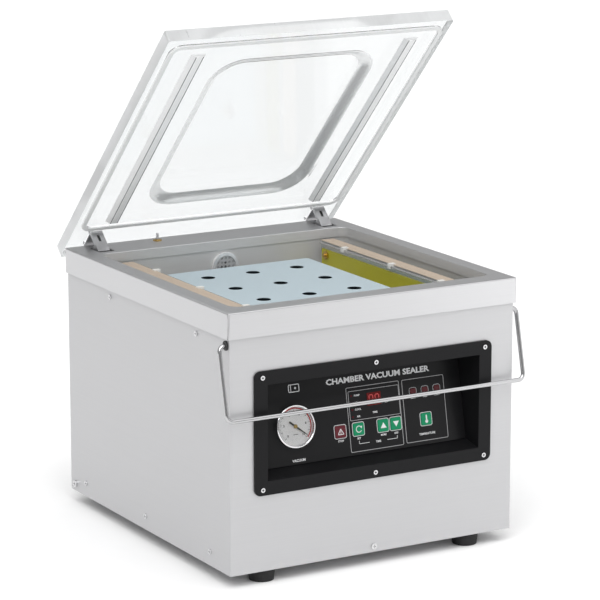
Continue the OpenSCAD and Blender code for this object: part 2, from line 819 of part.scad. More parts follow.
module strap_outline() {
    difference() {
        union() {
            polygon([[strap_y0, leg_z], [strap_y0, lid_z], [strap_y0 + 5, lid_z],
                     [strap_y0 + 5, hinge_z + strap_eye_r], [hinge_y, hinge_z + strap_eye_r],
                     [hinge_y, hinge_z - strap_eye_r], [strap_y0 + 8, leg_z]]);
            translate([hinge_y, hinge_z]) circle(strap_eye_r);
        }
        translate([hinge_y, hinge_z]) circle(pin_r + run_fit);
    }
}

// Bent strap: a plate let into the lid, a leg through the deck, and two cheeks with eyes
module hinge_straps() {
    half = strap_w / 2;
    color(steel) on_open_lid() at_hinges() {
        difference() {
            union() {
                box([-half, strap_y0, lid_z], [half, strap_y1, lid_z + strap_t]);
                box([-half, strap_y0, leg_z], [half, strap_y0 + strap_t, lid_z + strap_t]);
            }
            box([-2, strap_y0 - eps, lid_z - 17], [2, strap_y0 + strap_t + eps, lid_z - 6]);
            for (y = hinge_screw_ys) translate([0, y, lid_z - eps])
                cylinder(r = screw_r + loose_fit, h = strap_t + 2 * eps);
        }
        for (s = [-1, 1]) translate([s * (half - cheek_t / 2), 0, 0])
            along_x(cheek_t) strap_outline();
    }
}

module hinge_screws() {
    color(steel) on_open_lid() at_hinges() for (y = hinge_screw_ys)
        translate([0, y, lid_z + lid_t]) screw(screw_r, lid_t + 0.2, head_r, head_h);
}

// Ring of the gasket, and of its groove when grown by g
module gasket_ring(g) {
    l = gasket_y1 - gasket_y0;
    difference() {
        round_rect(2 * gasket_x + gasket_w + 2 * g, l + gasket_w + 2 * g, gasket_r + gasket_w / 2 + g);
        round_rect(2 * gasket_x - gasket_w - 2 * g, l - gasket_w - 2 * g, gasket_r - gasket_w / 2 - g);
    }
}

module lid() {
    color(clear) on_open_lid() difference() {
        soft_box([-lid_x, lid_y0, lid_z], [lid_x, lid_y1, lid_z + lid_t], 4, 1.5);
        translate([0, pocket_y, 0])
            round_slab(pocket_w, pocket_l, pocket_r, lid_z - eps, lid_z + pocket_depth);
        translate([0, (gasket_y0 + gasket_y1) / 2, lid_z - eps])
            linear_extrude(groove_h + eps) gasket_ring(0.1);
        at_hinges() {
            box([-strap_w / 2 - loose_fit, strap_y0 - loose_fit, lid_z - eps],
                [strap_w / 2 + loose_fit, strap_y1 + loose_fit, lid_z + strap_t]);
            for (y = hinge_screw_ys) translate([0, y, lid_z])
                cylinder(r = screw_r + loose_fit, h = lid_t + eps);
        }
    }
}

module lid_gasket() {
    color([0.85, 0.85, 0.86]) on_open_lid()
        translate([0, (gasket_y0 + gasket_y1) / 2, deck_z + soft_gap])
            linear_extrude(lid_gap - soft_gap + groove_h) gasket_ring(0);
}

module pressure_strips() {
    half = strip_w / 2;
    color([0.66, 0.67, 0.69]) on_open_lid() for (x = [-strip_x, strip_x])
        translate([x, strip_y1, 0]) rotate([90, 0, 0])
            linear_extrude(strip_y1 - strip_y0)
                polygon([[-half, lid_z], [strip_slope - half, strip_z], [half - strip_slope, strip_z],
                         [half, lid_z]]);
}

// ---------------------------------------------------------------- seal bars

// Aluminium bar with its two lift rods and pistons
module bar_body() {
    box([bar_in, bar_y0, bar_low], [bar_out, bar_y1, bar_face]);
    for (y = lift_ys) translate([bar_mid, y, piston_z]) {
        cylinder(r = lift_rod_r, h = bar_low - piston_z);
        cylinder(r = lift_cyl_r - lift_wall - run_fit, h = piston_h);
    }
}

// Nichrome ribbon with its tails, and the brass terminals on the board
module bar_ribbon() {
    box([bar_mid - 4, bar_y0, bar_face], [bar_mid + 4, bar_y1, bar_face + ribbon_t]);
    for (s = [0, 1]) {
        tail_y = s == 0 ? bar_y0 - ribbon_t : bar_y1;
        box([bar_mid - 4, tail_y, bar_low + 2], [bar_mid + 4, tail_y + ribbon_t, bar_face + ribbon_t]);
    }
    for (y = [bar_y0 + 20, bar_y1 - 20]) translate([0, y, bar_low - 5]) {
        rod_x(2.5, board_in - 6, board_in);
        translate([board_in - 3, 0, 0]) rotate([0, 90, 0]) cylinder(r = 6.5, h = 3, $fn = 6);
    }
}

module bar_tape() {
    box([bar_in, bar_y0, bar_top - tape_t], [bar_out, bar_y1, bar_top]);
    box([bar_out, bar_y0, bar_low + 3], [bar_out + tape_t, bar_y1, bar_top]);
}

module bar_board() {
    box([board_in, bar_y0 + 3, board_low], [bar_in, bar_y1 - 6, board_top]);
}

module bar_rod() {
    translate([rod_x, 0, rod_z]) rod_y(bag_rod_r, bar_y0 + 8, bar_y1 - 4);
}

module bar_clips() {
    for (y = clip_ys) difference() {
        union() {
            box([rod_x - 2.6, y - 3.5, rod_z - 2.4], [bar_in, y + 3.5, bar_top + clip_hook]);
            box([bar_in - 1, y - 3.5, bar_top], [bar_in + 3.5, y + 3.5, bar_top + clip_hook]);
        }
        translate([rod_x, 0, rod_z]) rod_y(bag_rod_r + run_fit, y - 5, y + 5);
    }
}

module seal_bar_right() { color([0.75, 0.76, 0.78]) bar_body(); }
module seal_bar_left() { color([0.75, 0.76, 0.78]) mirror([1, 0, 0]) bar_body(); }
module heating_ribbon_right() { color(brass) bar_ribbon(); }
module heating_ribbon_left() { color(brass) mirror([1, 0, 0]) bar_ribbon(); }
module seal_tape_right() { color([0.80, 0.69, 0.58]) bar_tape(); }
module seal_tape_left() { color([0.80, 0.69, 0.58]) mirror([1, 0, 0]) bar_tape(); }
module insulation_board_right() { color([0.62, 0.62, 0.18]) bar_board(); }
module insulation_board_left() { color([0.62, 0.62, 0.18]) mirror([1, 0, 0]) bar_board(); }
module bag_rod_right() { color(steel) bar_rod(); }
module bag_rod_left() { color(steel) mirror([1, 0, 0]) bar_rod(); }
module rod_clips_right() { color("white") bar_clips(); }
module rod_clips_left() { color("white") mirror([1, 0, 0]) bar_clips(); }

// Air cylinders under the chamber floor, two for each bar
module lift_cylinders() {
    color([0.75, 0.76, 0.78]) for (x = [-bar_mid, bar_mid], y = lift_ys) translate([x, y, 0])
        difference() {
            translate([0, 0, lift_cyl_z]) cylinder(r = lift_cyl_r, h = floor_z - sheet - lift_cyl_z);
            translate([0, 0, lift_cyl_z + 3])
                cylinder(r = lift_cyl_r - lift_wall, h = floor_z - sheet - lift_roof - lift_cyl_z - 3);
            translate([0, 0, piston_z]) cylinder(r = lift_rod_r + run_fit, h = floor_z - piston_z);
        }
}

// ---------------------------------------------------------------- inside the chamber

module spacer_plate() {
    color([0.72, 0.78, 0.82]) {
        difference() {
            translate([0, plate_mid, 0]) round_slab(plate_w, plate_l, 6, plate_z - plate_t, plate_z);
            for (i = [-1:1], j = [-1.5:1.5])
                translate([i * hole_pitch_x, plate_mid + 40 + (j - 0.5) * hole_pitch_y, plate_z - plate_t - eps])
                    cylinder(r = air_hole_r, h = plate_t + 2 * eps);
        }
        for (x = [-1, 1], j = [-1:1])
            translate([x * hole_pitch_x * 1.3, plate_mid + j * (plate_l / 2 - 22), floor_z])
                cylinder(r = 9, h = plate_z - plate_t - floor_z);
    }
}

module vacuum_port() {
    color(steel) difference() {
        union() {
            translate([0, 0, port_z]) {
                rod_y(port_r, tub_y1 - 5, tub_y1);
                rod_y(port_pipe_r, tub_y1 - eps, port_pipe_y);
            }
            translate([0, port_pipe_y, port_z]) sphere(port_pipe_r);
            translate([0, port_pipe_y, port_z - 46]) cylinder(r = barb_r, h = 46);
        }
        translate([0, 0, port_z]) {
            rod_y(port_hole, tub_y1 - 5 - eps, tub_y1 - 1.5);
            rod_y(barb_r - 3, tub_y1 - 2 * eps, port_pipe_y);
        }
        translate([0, port_pipe_y, port_z - 46 - eps]) cylinder(r = barb_r - 3, h = 46 + eps);
    }
}

module port_grille() {
    color(steel) translate([0, 0, port_z]) difference() {
        rod_y(port_hole - 0.1, tub_y1 - 3.5, tub_y1 - 2.3);
        for (i = [-2:2], j = [-2:2]) if (norm([i, j]) < 2.3)
            translate([i * 6.2, 0, j * 6.2]) rod_y(2, tub_y1 - 5, tub_y1);
    }
}

// The hose is gripped by two barbs, one under the port and one on the pump
module vacuum_hose() {
    color(black) translate([0, port_pipe_y, pump_top + 10]) difference() {
        cylinder(r = hose_r, h = port_z - 24 - pump_top - 10);
        translate([0, 0, -eps]) cylinder(r = barb_r + run_fit, h = port_z - pump_top);
    }
}

module release_valve() {
    color(brass) translate([valve_at.x, valve_at.y, 0]) {
        translate([0, 0, floor_z - sheet - 30]) difference() {
            cylinder(r = 15, h = 30, $fn = 6);
            translate([0, 0, 8]) cylinder(r = 3, h = 30);
        }
        translate([0, 0, floor_z - sheet]) difference() {
            cylinder(r = valve_spigot_r, h = sheet + 3);
            translate([0, 0, -eps]) cylinder(r = 3, h = sheet + 3 + 2 * eps);
        }
        translate([0, 0, floor_z - sheet - 58]) cylinder(r = 12, h = 28);
    }
}

module switch_bush() {
    color(brass) translate([switch_x, switch_y, 0]) difference() {
        union() {
            translate([0, 0, deck_z]) cylinder(r = 7, h = 1.4, $fn = 6);
            translate([0, 0, deck_z]) cylinder(r = 4.2, h = lid_gap - soft_gap);
            translate([0, 0, deck_z - 19]) cylinder(r = bush_r, h = 19.5);
        }
        translate([0, 0, deck_z - 20]) cylinder(r = plunger_r + run_fit, h = 24);
    }
}

module switch_plunger() {
    low = deck_z - 35.6;
    color(steel) translate([switch_x, switch_y, 0]) {
        translate([0, 0, low]) cylinder(r = plunger_r, h = deck_z + plunger_up - plunger_r - low);
        translate([0, 0, deck_z + plunger_up - plunger_r]) sphere(plunger_r);
    }
}

module lid_microswitch() {
    color(black) translate([switch_x, switch_y, 0]) {
        box([-10, -7, deck_z - 58], [10, 7, deck_z - 46]);
        box([-12, -7, deck_z - 58], [-10, 7, deck_under]);
    }
}

// ---------------------------------------------------------------- machinery

// Oil vane pump: block, finned head, sight glass and the inlet barb
module vacuum_pump() {
    color([0.20, 0.24, 0.28]) translate([-pump_w / 2, 0, 0]) difference() {
        union() {
            box([0, pump_y0, base_top + 10], [pump_w, pump_y1, pump_top - 12]);
            for (i = [0:8]) box([i * 14 + 1, pump_y0 + 4, base_top + 14],
                                [i * 14 + 6, pump_y1 - 4, pump_top]);
            for (y = [pump_y0 + 6, pump_y1 - 26])
                box([8, y, base_top], [pump_w - 8, y + 20, base_top + 10]);
            translate([pump_w / 2, port_pipe_y, pump_top - 20]) cylinder(r = barb_r, h = 56);
            translate([pump_w / 2, port_pipe_y, pump_top - 20]) cylinder(r = 14, h = 26);
            translate([30, 0, base_top + 45]) rod_y(12, pump_y0 - 5, pump_y0);
        }
        translate([pump_w / 2, port_pipe_y, pump_top - 6]) cylinder(r = barb_r - 3, h = 50);
    }
}

// Motor with its foot, and the cowl that is open at its end round the fan
module pump_motor() {
    color([0.28, 0.33, 0.38]) {
        translate([0, motor_y, motor_z]) difference() {
            union() {
                rod_x(motor_r - 4, pump_w / 2, motor_x1);
                for (i = [0:4]) rod_x(motor_r, pump_w / 2 + 8 + i * 18, pump_w / 2 + 14 + i * 18);
                rod_x(motor_r, motor_x1 - 4, cowl_x1);
            }
            rod_x(motor_r - 3, motor_x1, cowl_x1 - 2);
            rod_x(motor_r - 12, cowl_x1 - 3, cowl_x1 + eps);
            rod_x(fan_shaft_r + run_fit, motor_x1 - 14, motor_x1 + eps);
        }
        box([pump_w / 2 + 16, motor_y - 40, base_top],
            [motor_x1 - 20, motor_y + 40, motor_z - motor_r + 12]);
    }
}

module motor_fan() {
    blades = 6;
    color(black) translate([0, motor_y, motor_z]) {
        rod_x(fan_shaft_r, motor_x1 - 12, fan_x + 4);
        difference() {
            rod_x(14, fan_x, fan_x + 16);
            rod_x(10, fan_x + 6, fan_x + 17);
        }
        for (i = [0:blades - 1]) rotate([i * 360 / blades, 0, 0])
            translate([fan_x + 8, 12.5, 0])
                box([-7, 0, -1], [7, motor_r - 20, 1]);
    }
}

// Transformer: laminated core, two windings and a mounting foot
module transformer() {
    x0 = -side_x + 28;
    y0 = -20;
    color([0.45, 0.32, 0.20]) {
        box([x0, y0, base_top], [x0 + 90, y0 + 74, base_top + 4]);
        difference() {
            box([x0 + 4, y0 + 22, base_top + 4], [x0 + 86, y0 + 52, base_top + 78]);
            for (x = [x0 + 18, x0 + 51])
                box([x, y0 + 20, base_top + 18], [x + 21, y0 + 54, base_top + 64]);
        }
        for (y = [y0 + 6, y0 + 52])
            box([x0 + 20, y, base_top + 20], [x0 + 70, y + 16, base_top + 62]);
    }
}

// Mains inlet with three blades, and the well of the rocker above it
module power_inlet() {
    color(black) translate([inlet_at.x, 0, inlet_at.y]) {
        difference() {
            union() {
                box([-inlet_w / 2, rear_y - 30, -inlet_h / 2], [inlet_w / 2, rear_y + eps / 2, inlet_h / 2]);
                box([-inlet_w / 2 - inlet_rim, rear_y, -inlet_h / 2 - inlet_rim],
                    [inlet_w / 2 + inlet_rim, rear_y + 3, inlet_h / 2 + inlet_rim]);
            }
            box([-12.5, rear_y - 16, -27], [12.5, rear_y + 3 + eps, -6]);
            translate([0, rocker_pivot_y, rocker_up]) {
                box([-rocker_half_w - 0.4, -9, -rocker_well],
                    [rocker_half_w + 0.4, 8, rocker_well]);
                rod_x(rocker_pin_r + run_fit, -rocker_half_w - 3, rocker_half_w + 3);
            }
        }
        for (p = [[-7, -18], [0, -13], [7, -18]])
            box([p.x - 1, rear_y - 17, p.y - 2], [p.x + 1, rear_y - 3, p.y + 2]);
    }
}

module power_rocker() {
    color([0.6, 0.1, 0.1]) translate([inlet_at.x, rocker_pivot_y, inlet_at.y + rocker_up]) {
        along_x(2 * rocker_half_w)
            polygon([[-3, -5], [7, -8.4], [5, 0], [4.6, 8.4], [-3, 5]]);
        rod_x(rocker_pin_r, -rocker_half_w - 2.5, rocker_half_w + 2.5);
    }
}

top_deck();
chamber_tub();
front_panel();
side_panel_left();
side_panel_right();
rear_panel();
base_tray();
cabinet_screws();
feet();
control_housing();
control_panel();
display_window();
indicator_lamps();
gauge_case();
gauge_dial();
gauge_lens();
gauge_needle();
stop_key();
set_key();
up_key();
down_key();
temperature_key();
bail_bushes();
bail();
hinge_brackets();
hinge_pins();
lid_springs();
lid();
lid_gasket();
pressure_strips();
hinge_straps();
hinge_screws();
seal_bar_left();
seal_bar_right();
heating_ribbon_left();
heating_ribbon_right();
seal_tape_left();
seal_tape_right();
insulation_board_left();
insulation_board_right();
bag_rod_left();
bag_rod_right();
rod_clips_left();
rod_clips_right();
lift_cylinders();
spacer_plate();
vacuum_port();
port_grille();
vacuum_hose();
switch_bush();
switch_plunger();
lid_microswitch();
vacuum_pump();
pump_motor();
motor_fan();
transformer();
release_valve();
control_board();
power_inlet();
power_rocker();
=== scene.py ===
"""Looks of a table-top chamber vacuum sealer that stands with its lid open.

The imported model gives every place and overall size. The classes below hold what the looks add:
softened edges, the polished lid, the printed panel and dial, and one procedural finish for each
material slot.
"""

from __future__ import annotations

import json
import logging
import math
from collections.abc import Iterable, Sequence
from dataclasses import dataclass, field
from enum import Enum

import bmesh
import bpy
from mathutils import Matrix, Vector

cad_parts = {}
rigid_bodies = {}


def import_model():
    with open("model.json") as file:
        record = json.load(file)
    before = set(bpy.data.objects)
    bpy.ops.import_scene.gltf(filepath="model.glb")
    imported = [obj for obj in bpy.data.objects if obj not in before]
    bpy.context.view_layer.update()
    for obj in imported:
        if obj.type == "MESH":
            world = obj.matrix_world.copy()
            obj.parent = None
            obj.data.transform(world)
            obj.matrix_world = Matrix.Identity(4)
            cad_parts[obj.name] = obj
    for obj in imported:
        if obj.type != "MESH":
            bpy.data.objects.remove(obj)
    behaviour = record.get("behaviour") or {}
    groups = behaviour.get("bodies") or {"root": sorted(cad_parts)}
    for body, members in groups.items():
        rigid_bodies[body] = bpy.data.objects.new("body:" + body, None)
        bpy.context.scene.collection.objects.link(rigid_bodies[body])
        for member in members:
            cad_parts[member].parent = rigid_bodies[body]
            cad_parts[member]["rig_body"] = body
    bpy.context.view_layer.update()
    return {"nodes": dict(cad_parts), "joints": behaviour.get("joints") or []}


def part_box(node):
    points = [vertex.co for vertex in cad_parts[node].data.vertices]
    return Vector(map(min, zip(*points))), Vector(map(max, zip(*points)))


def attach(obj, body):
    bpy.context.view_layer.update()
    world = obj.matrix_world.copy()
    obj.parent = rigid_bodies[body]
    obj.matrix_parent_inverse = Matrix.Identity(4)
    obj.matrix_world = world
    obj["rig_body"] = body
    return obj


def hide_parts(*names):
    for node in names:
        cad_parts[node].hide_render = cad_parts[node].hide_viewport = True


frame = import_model()

LOG = logging.getLogger("vacuum_sealer")
MM = 0.001
PRINT_HEIGHT = 0.06
SAME_SPOT = 0.002 * MM
SAME_LEVEL = 0.05 * MM
Triple = tuple[float, float, float]
Pair = tuple[float, float]


# ------------------------------------------------------------------ shader groups


class Effect(Enum):
    """Surface patterns that the finishes share, each a shader node group."""

    BRUSHED = "brushed_grain"
    PEBBLE = "moulded_pebble"
    WEAVE = "cloth_weave"
    SMUDGE = "handling_smudge"


NOISE_DETAIL = {Effect.BRUSHED: 6.0, Effect.SMUDGE: 3.0}


@dataclass
class EffectGroups:
    """Builds each shared pattern once, as a group that puts out one mask."""

    made: dict[Effect, bpy.types.NodeTree] = field(default_factory=dict)

    def get(self, effect: Effect) -> bpy.types.NodeTree:
        """Gives the group of an effect, building it the first time.

        Args:
            effect: The pattern that is wanted.

        Returns:
            The node group, with inputs Stretch and Scale and the output Mask.
        """
        if effect not in self.made:
            self.made[effect] = self._build(effect)
        return self.made[effect]

    def _build(self, effect: Effect) -> bpy.types.NodeTree:
        """Makes one group with its sockets and nodes.

        Args:
            effect: The pattern to build.

        Returns:
            The new node group.
        """
        tree = bpy.data.node_groups.new(effect.value, "ShaderNodeTree")
        face = tree.interface
        stretch = face.new_socket("Stretch", in_out="INPUT", socket_type="NodeSocketVector")
        stretch.default_value = (1.0, 1.0, 1.0)
        scale = face.new_socket("Scale", in_out="INPUT", socket_type="NodeSocketFloat")
        scale.default_value = 100.0
        face.new_socket("Mask", in_out="OUTPUT", socket_type="NodeSocketFloat")
        nodes, links = tree.nodes, tree.links
        entry, leave = nodes.new("NodeGroupInput"), nodes.new("NodeGroupOutput")
        place = nodes.new("ShaderNodeTexCoord")
        stretched = nodes.new("ShaderNodeVectorMath")
        stretched.operation = "MULTIPLY"
        links.new(place.outputs["Object"], stretched.inputs[0])
        links.new(entry.outputs["Stretch"], stretched.inputs[1])
        vector, size = stretched.outputs["Vector"], entry.outputs["Scale"]
        if effect is Effect.WEAVE:
            mask = self._weave(tree, vector, size)
        elif effect is Effect.PEBBLE:
            mask = self._pebble(tree, vector, size)
        else:
            mask = self._noise(tree, vector, size, NOISE_DETAIL[effect])
        links.new(mask, leave.inputs["Mask"])
        return tree

    @staticmethod
    def _noise(
        tree: bpy.types.NodeTree,
        vector: bpy.types.NodeSocket,
        scale: bpy.types.NodeSocket,
        detail: float,
    ) -> bpy.types.NodeSocket:
        """Adds soft noise.

        Args:
            tree: The group being built.
            vector: The stretched place on the object.
            scale: How fine the noise is.
            detail: How much finer detail it holds.

        Returns:
            The mask's socket.
        """
        noise = tree.nodes.new("ShaderNodeTexNoise")
        noise.inputs["Detail"].default_value = detail
        noise.inputs["Roughness"].default_value = 0.55
        tree.links.new(vector, noise.inputs["Vector"])
        tree.links.new(scale, noise.inputs["Scale"])
        return noise.outputs["Fac"]

    @staticmethod
    def _pebble(
        tree: bpy.types.NodeTree, vector: bpy.types.NodeSocket, scale: bpy.types.NodeSocket
    ) -> bpy.types.NodeSocket:
        """Adds the rounded cells of a textured mould.

        Args:
            tree: The group being built.
            vector: The stretched place on the object.
            scale: How fine the pattern is.

        Returns:
            The mask's socket.
        """
        cells = tree.nodes.new("ShaderNodeTexVoronoi")
        cells.feature = "SMOOTH_F1"
        cells.inputs["Smoothness"].default_value = 0.6
        tree.links.new(vector, cells.inputs["Vector"])
        tree.links.new(scale, cells.inputs["Scale"])
        return cells.outputs["Distance"]

    @staticmethod
    def _weave(
        tree: bpy.types.NodeTree, vector: bpy.types.NodeSocket, scale: bpy.types.NodeSocket
    ) -> bpy.types.NodeSocket:
        """Adds two sets of crossing threads.

        Args:
            tree: The group being built.
            vector: The stretched place on the object.
            scale: How fine the pattern is.

        Returns:
            The mask's socket.
        """
        threads = []
        for direction in ("X", "Y"):
            wave = tree.nodes.new("ShaderNodeTexWave")
            wave.bands_direction = direction
            wave.inputs["Distortion"].default_value = 0.4
            tree.links.new(vector, wave.inputs["Vector"])
            tree.links.new(scale, wave.inputs["Scale"])
            threads.append(wave.outputs["Fac"])
        cross = tree.nodes.new("ShaderNodeMath")
        cross.operation = "MAXIMUM"
        for thread, socket in zip(threads, cross.inputs):
            tree.links.new(thread, socket)
        return cross.outputs["Value"]


# ------------------------------------------------------------------ finishes


@dataclass(frozen=True)
class Finish:
    """One real surface finish.

    The base colour runs from shade to colour with the pattern's mask, the roughness from
    rough[0] to rough[1], and the mask also raises the surface by bump.
    """

    slot: str
    colour: Triple
    shade: Triple
    rough: tuple[float, float]
    metal: float = 0.0
    effect: Effect = Effect.PEBBLE
    stretch: Triple = (1.0, 1.0, 1.0)
    scale: float = 900.0
    bump: float = 0.05
    smudge: float = 0.03
    coat: float = 0.0
    glow: float = 0.0
    through: float = 0.0
    ior: float = 1.5
    specular: float = 0.5


def metal(
    slot: str,
    colour: Triple,
    rough: tuple[float, float],
    stretch: Triple = (1.0, 1.0, 1.0),
    scale: float = 700.0,
    bump: float = 0.02,
    share: float = 1.0,
) -> Finish:
    """Describes a bare metal whose grain is drawn out by stretch.

    Args:
        slot: The record's material slot.
        colour: The metal's colour.
        rough: The lowest and highest roughness.
        stretch: How fast the grain changes along each axis.
        scale: How fine the grain is.
        bump: How deep the grain is.
        share: How much of the light mirrors off, the rest being scattered.

    Returns:
        The finish.
    """
    shade = tuple(0.93 * c for c in colour)
    return Finish(slot, colour, shade, rough, share, Effect.BRUSHED, stretch, scale, bump)


def moulded(
    slot: str,
    colour: Triple,
    rough: tuple[float, float],
    scale: float = 900.0,
    bump: float = 0.05,
    coat: float = 0.0,
    specular: float = 0.5,
) -> Finish:
    """Describes a moulded plastic, a rubber or an enamel.

    Args:
        slot: The record's material slot.
        colour: The surface's colour.
        rough: The lowest and highest roughness.
        scale: How fine the mould's texture is.
        bump: How deep the texture is.
        coat: The weight of a clear coat.
        specular: How strong the surface's own shine is.

    Returns:
        The finish.
    """
    shade = tuple(0.85 * c for c in colour)
    return Finish(slot, colour, shade, rough, scale=scale, bump=bump, coat=coat, specular=specular)


# How fast a brushed grain changes along X, Y and Z.
LEVEL = (3.0, 3.0, 260.0)
ACROSS = (3.0, 260.0, 260.0)
ALONG = (260.0, 3.0, 260.0)

FINISHES = (
    metal("deck_steel", (0.63, 0.63, 0.64), (0.28, 0.38), ACROSS, 2.2, share=0.9),
    metal("body_steel", (0.57, 0.57, 0.58), (0.32, 0.42), LEVEL, 2.2, share=0.55),
    metal("chamber_steel", (0.60, 0.60, 0.60), (0.40, 0.52), LEVEL, 2.0, share=0.35),
    metal("tray_steel", (0.60, 0.60, 0.61), (0.34, 0.44), LEVEL, 2.0),
    metal("screw_steel", (0.72, 0.72, 0.73), (0.14, 0.26)),
    moulded("foot_rubber", (0.012, 0.012, 0.013), (0.62, 0.78), 500.0, 0.12),
    moulded("housing_plastic", (0.008, 0.008, 0.009), (0.36, 0.48), 1100.0, 0.10, specular=0.18),
    moulded("panel_film", (0.008, 0.008, 0.009), (0.28, 0.38), 1500.0, 0.03, specular=0.22),
    moulded("display_red", (0.130, 0.012, 0.012), (0.14, 0.20), 300.0, 0.0, specular=0.3),
    moulded("lamp_red", (0.085, 0.012, 0.016), (0.20, 0.28), 300.0, 0.0, specular=0.3),
    metal("gauge_ring", (0.78, 0.78, 0.79), (0.08, 0.16)),
    moulded("dial_white", (0.97, 0.97, 0.97), (0.42, 0.52), 900.0, 0.01),
    Finish("gauge_glass", (0.99, 0.99, 0.99), (0.98, 0.98, 0.98), (0.0, 0.02), bump=0.0,
           smudge=0.01, through=1.0, ior=1.45),
    metal("needle_brass", (0.50, 0.36, 0.13), (0.18, 0.28)),
    moulded("key_red", (0.130, 0.022, 0.030), (0.30, 0.40), 1200.0, 0.02, specular=0.2),
    moulded("key_green", (0.010, 0.270, 0.120), (0.30, 0.40), 1200.0, 0.02, specular=0.2),
    moulded("bush_plastic", (0.020, 0.020, 0.021), (0.40, 0.52)),
    metal("bail_wire", (0.56, 0.56, 0.57), (0.10, 0.20)),
    metal("hinge_steel", (0.42, 0.42, 0.43), (0.26, 0.38), ALONG, 2.5, share=0.8),
    metal("spring_steel", (0.30, 0.30, 0.31), (0.24, 0.36)),
    Finish("lid_acrylic", (0.865, 0.875, 0.878), (0.845, 0.862, 0.867), (0.005, 0.03),
           effect=Effect.SMUDGE, scale=5.0, bump=0.0, smudge=0.02, through=1.0, ior=1.30),
    Finish("lid_edge", (0.80, 0.81, 0.815), (0.72, 0.73, 0.735), (0.22, 0.36),
           effect=Effect.SMUDGE, stretch=(40.0, 3.0, 3.0), scale=6.0, bump=0.0, through=0.35,
           ior=1.30),
    Finish("lid_pocket", (0.90, 0.905, 0.91), (0.86, 0.87, 0.875), (0.16, 0.26),
           effect=Effect.SMUDGE, scale=9.0, bump=0.0, through=0.45, ior=1.20),
    moulded("gasket_silicone", (0.80, 0.81, 0.81), (0.38, 0.50), 700.0, 0.03),
    moulded("strip_silicone", (0.90, 0.905, 0.91), (0.34, 0.46), 700.0, 0.04),
    metal("bar_aluminium", (0.66, 0.67, 0.68), (0.24, 0.36), ALONG, 2.4),
    metal("ribbon_terminals", (0.66, 0.46, 0.16), (0.20, 0.32)),
    Finish("seal_tape", (0.50, 0.405, 0.315), (0.38, 0.30, 0.225), (0.32, 0.46),
           effect=Effect.WEAVE, scale=420.0, bump=0.10),
    Finish("insulation_board", (0.50, 0.465, 0.035), (0.38, 0.36, 0.02), (0.24, 0.36),
           effect=Effect.WEAVE, scale=260.0, bump=0.03),
    metal("rod_chrome", (0.68, 0.67, 0.66), (0.10, 0.18)),
    moulded("clip_white", (0.78, 0.77, 0.74), (0.34, 0.46)),
    metal("cylinder_aluminium", (0.62, 0.63, 0.64), (0.22, 0.34), LEVEL, 2.6),
    moulded("plate_plastic", (0.46, 0.55, 0.595), (0.46, 0.60), 800.0, 0.05),
    # Near-black painted shade for the walls of the filler plate's holes.
    moulded("plate_core", (0.006, 0.010, 0.012), (0.50, 0.64), 800.0, 0.05, specular=0.1),
    metal("port_chrome", (0.84, 0.84, 0.85), (0.14, 0.24), share=0.5),
    metal("grille_steel", (0.62, 0.62, 0.63), (0.26, 0.38), share=0.5),
    moulded("hose_rubber", (0.020, 0.020, 0.020), (0.50, 0.66), 300.0, 0.20),
    metal("bush_brass", (0.60, 0.42, 0.16), (0.18, 0.28)),
    metal("plunger_steel", (0.70, 0.70, 0.71), (0.10, 0.18)),
    moulded("switch_plastic", (0.024, 0.024, 0.025), (0.38, 0.50)),
    moulded("pump_paint", (0.030, 0.070, 0.130), (0.32, 0.46), 160.0, 0.16, 0.3),
    moulded("motor_paint", (0.060, 0.090, 0.130), (0.34, 0.48), 160.0, 0.16, 0.3),
    moulded("fan_plastic", (0.022, 0.022, 0.022), (0.40, 0.54)),
    Finish("transformer_lamination", (0.16, 0.10, 0.045), (0.07, 0.05, 0.03), (0.36, 0.52),
           effect=Effect.BRUSHED, stretch=(3.0, 260.0, 3.0), scale=3.0, bump=0.20, coat=0.3),
    metal("valve_brass", (0.55, 0.39, 0.15), (0.20, 0.32)),
    moulded("board_green", (0.012, 0.110, 0.040), (0.24, 0.36), 500.0, 0.03, 0.4),
    moulded("inlet_plastic", (0.020, 0.020, 0.021), (0.36, 0.48)),
    moulded("rocker_red", (0.28, 0.015, 0.015), (0.24, 0.34)),
    moulded("print_white", (0.82, 0.83, 0.84), (0.40, 0.50), 1500.0, 0.02),
    moulded("print_grey", (0.46, 0.46, 0.47), (0.40, 0.50), 1500.0, 0.02),
    moulded("print_black", (0.018, 0.018, 0.020), (0.40, 0.50), 1500.0, 0.02),
    moulded("print_red", (0.56, 0.035, 0.030), (0.38, 0.48), 1500.0, 0.02),
    Finish("digit_glow", (0.50, 0.05, 0.05), (0.40, 0.04, 0.04), (0.30, 0.40), glow=0.25),
    Finish("floor_white", (0.95, 0.95, 0.95), (0.94, 0.94, 0.94), (0.70, 0.82), scale=40.0,
           bump=0.0),
)


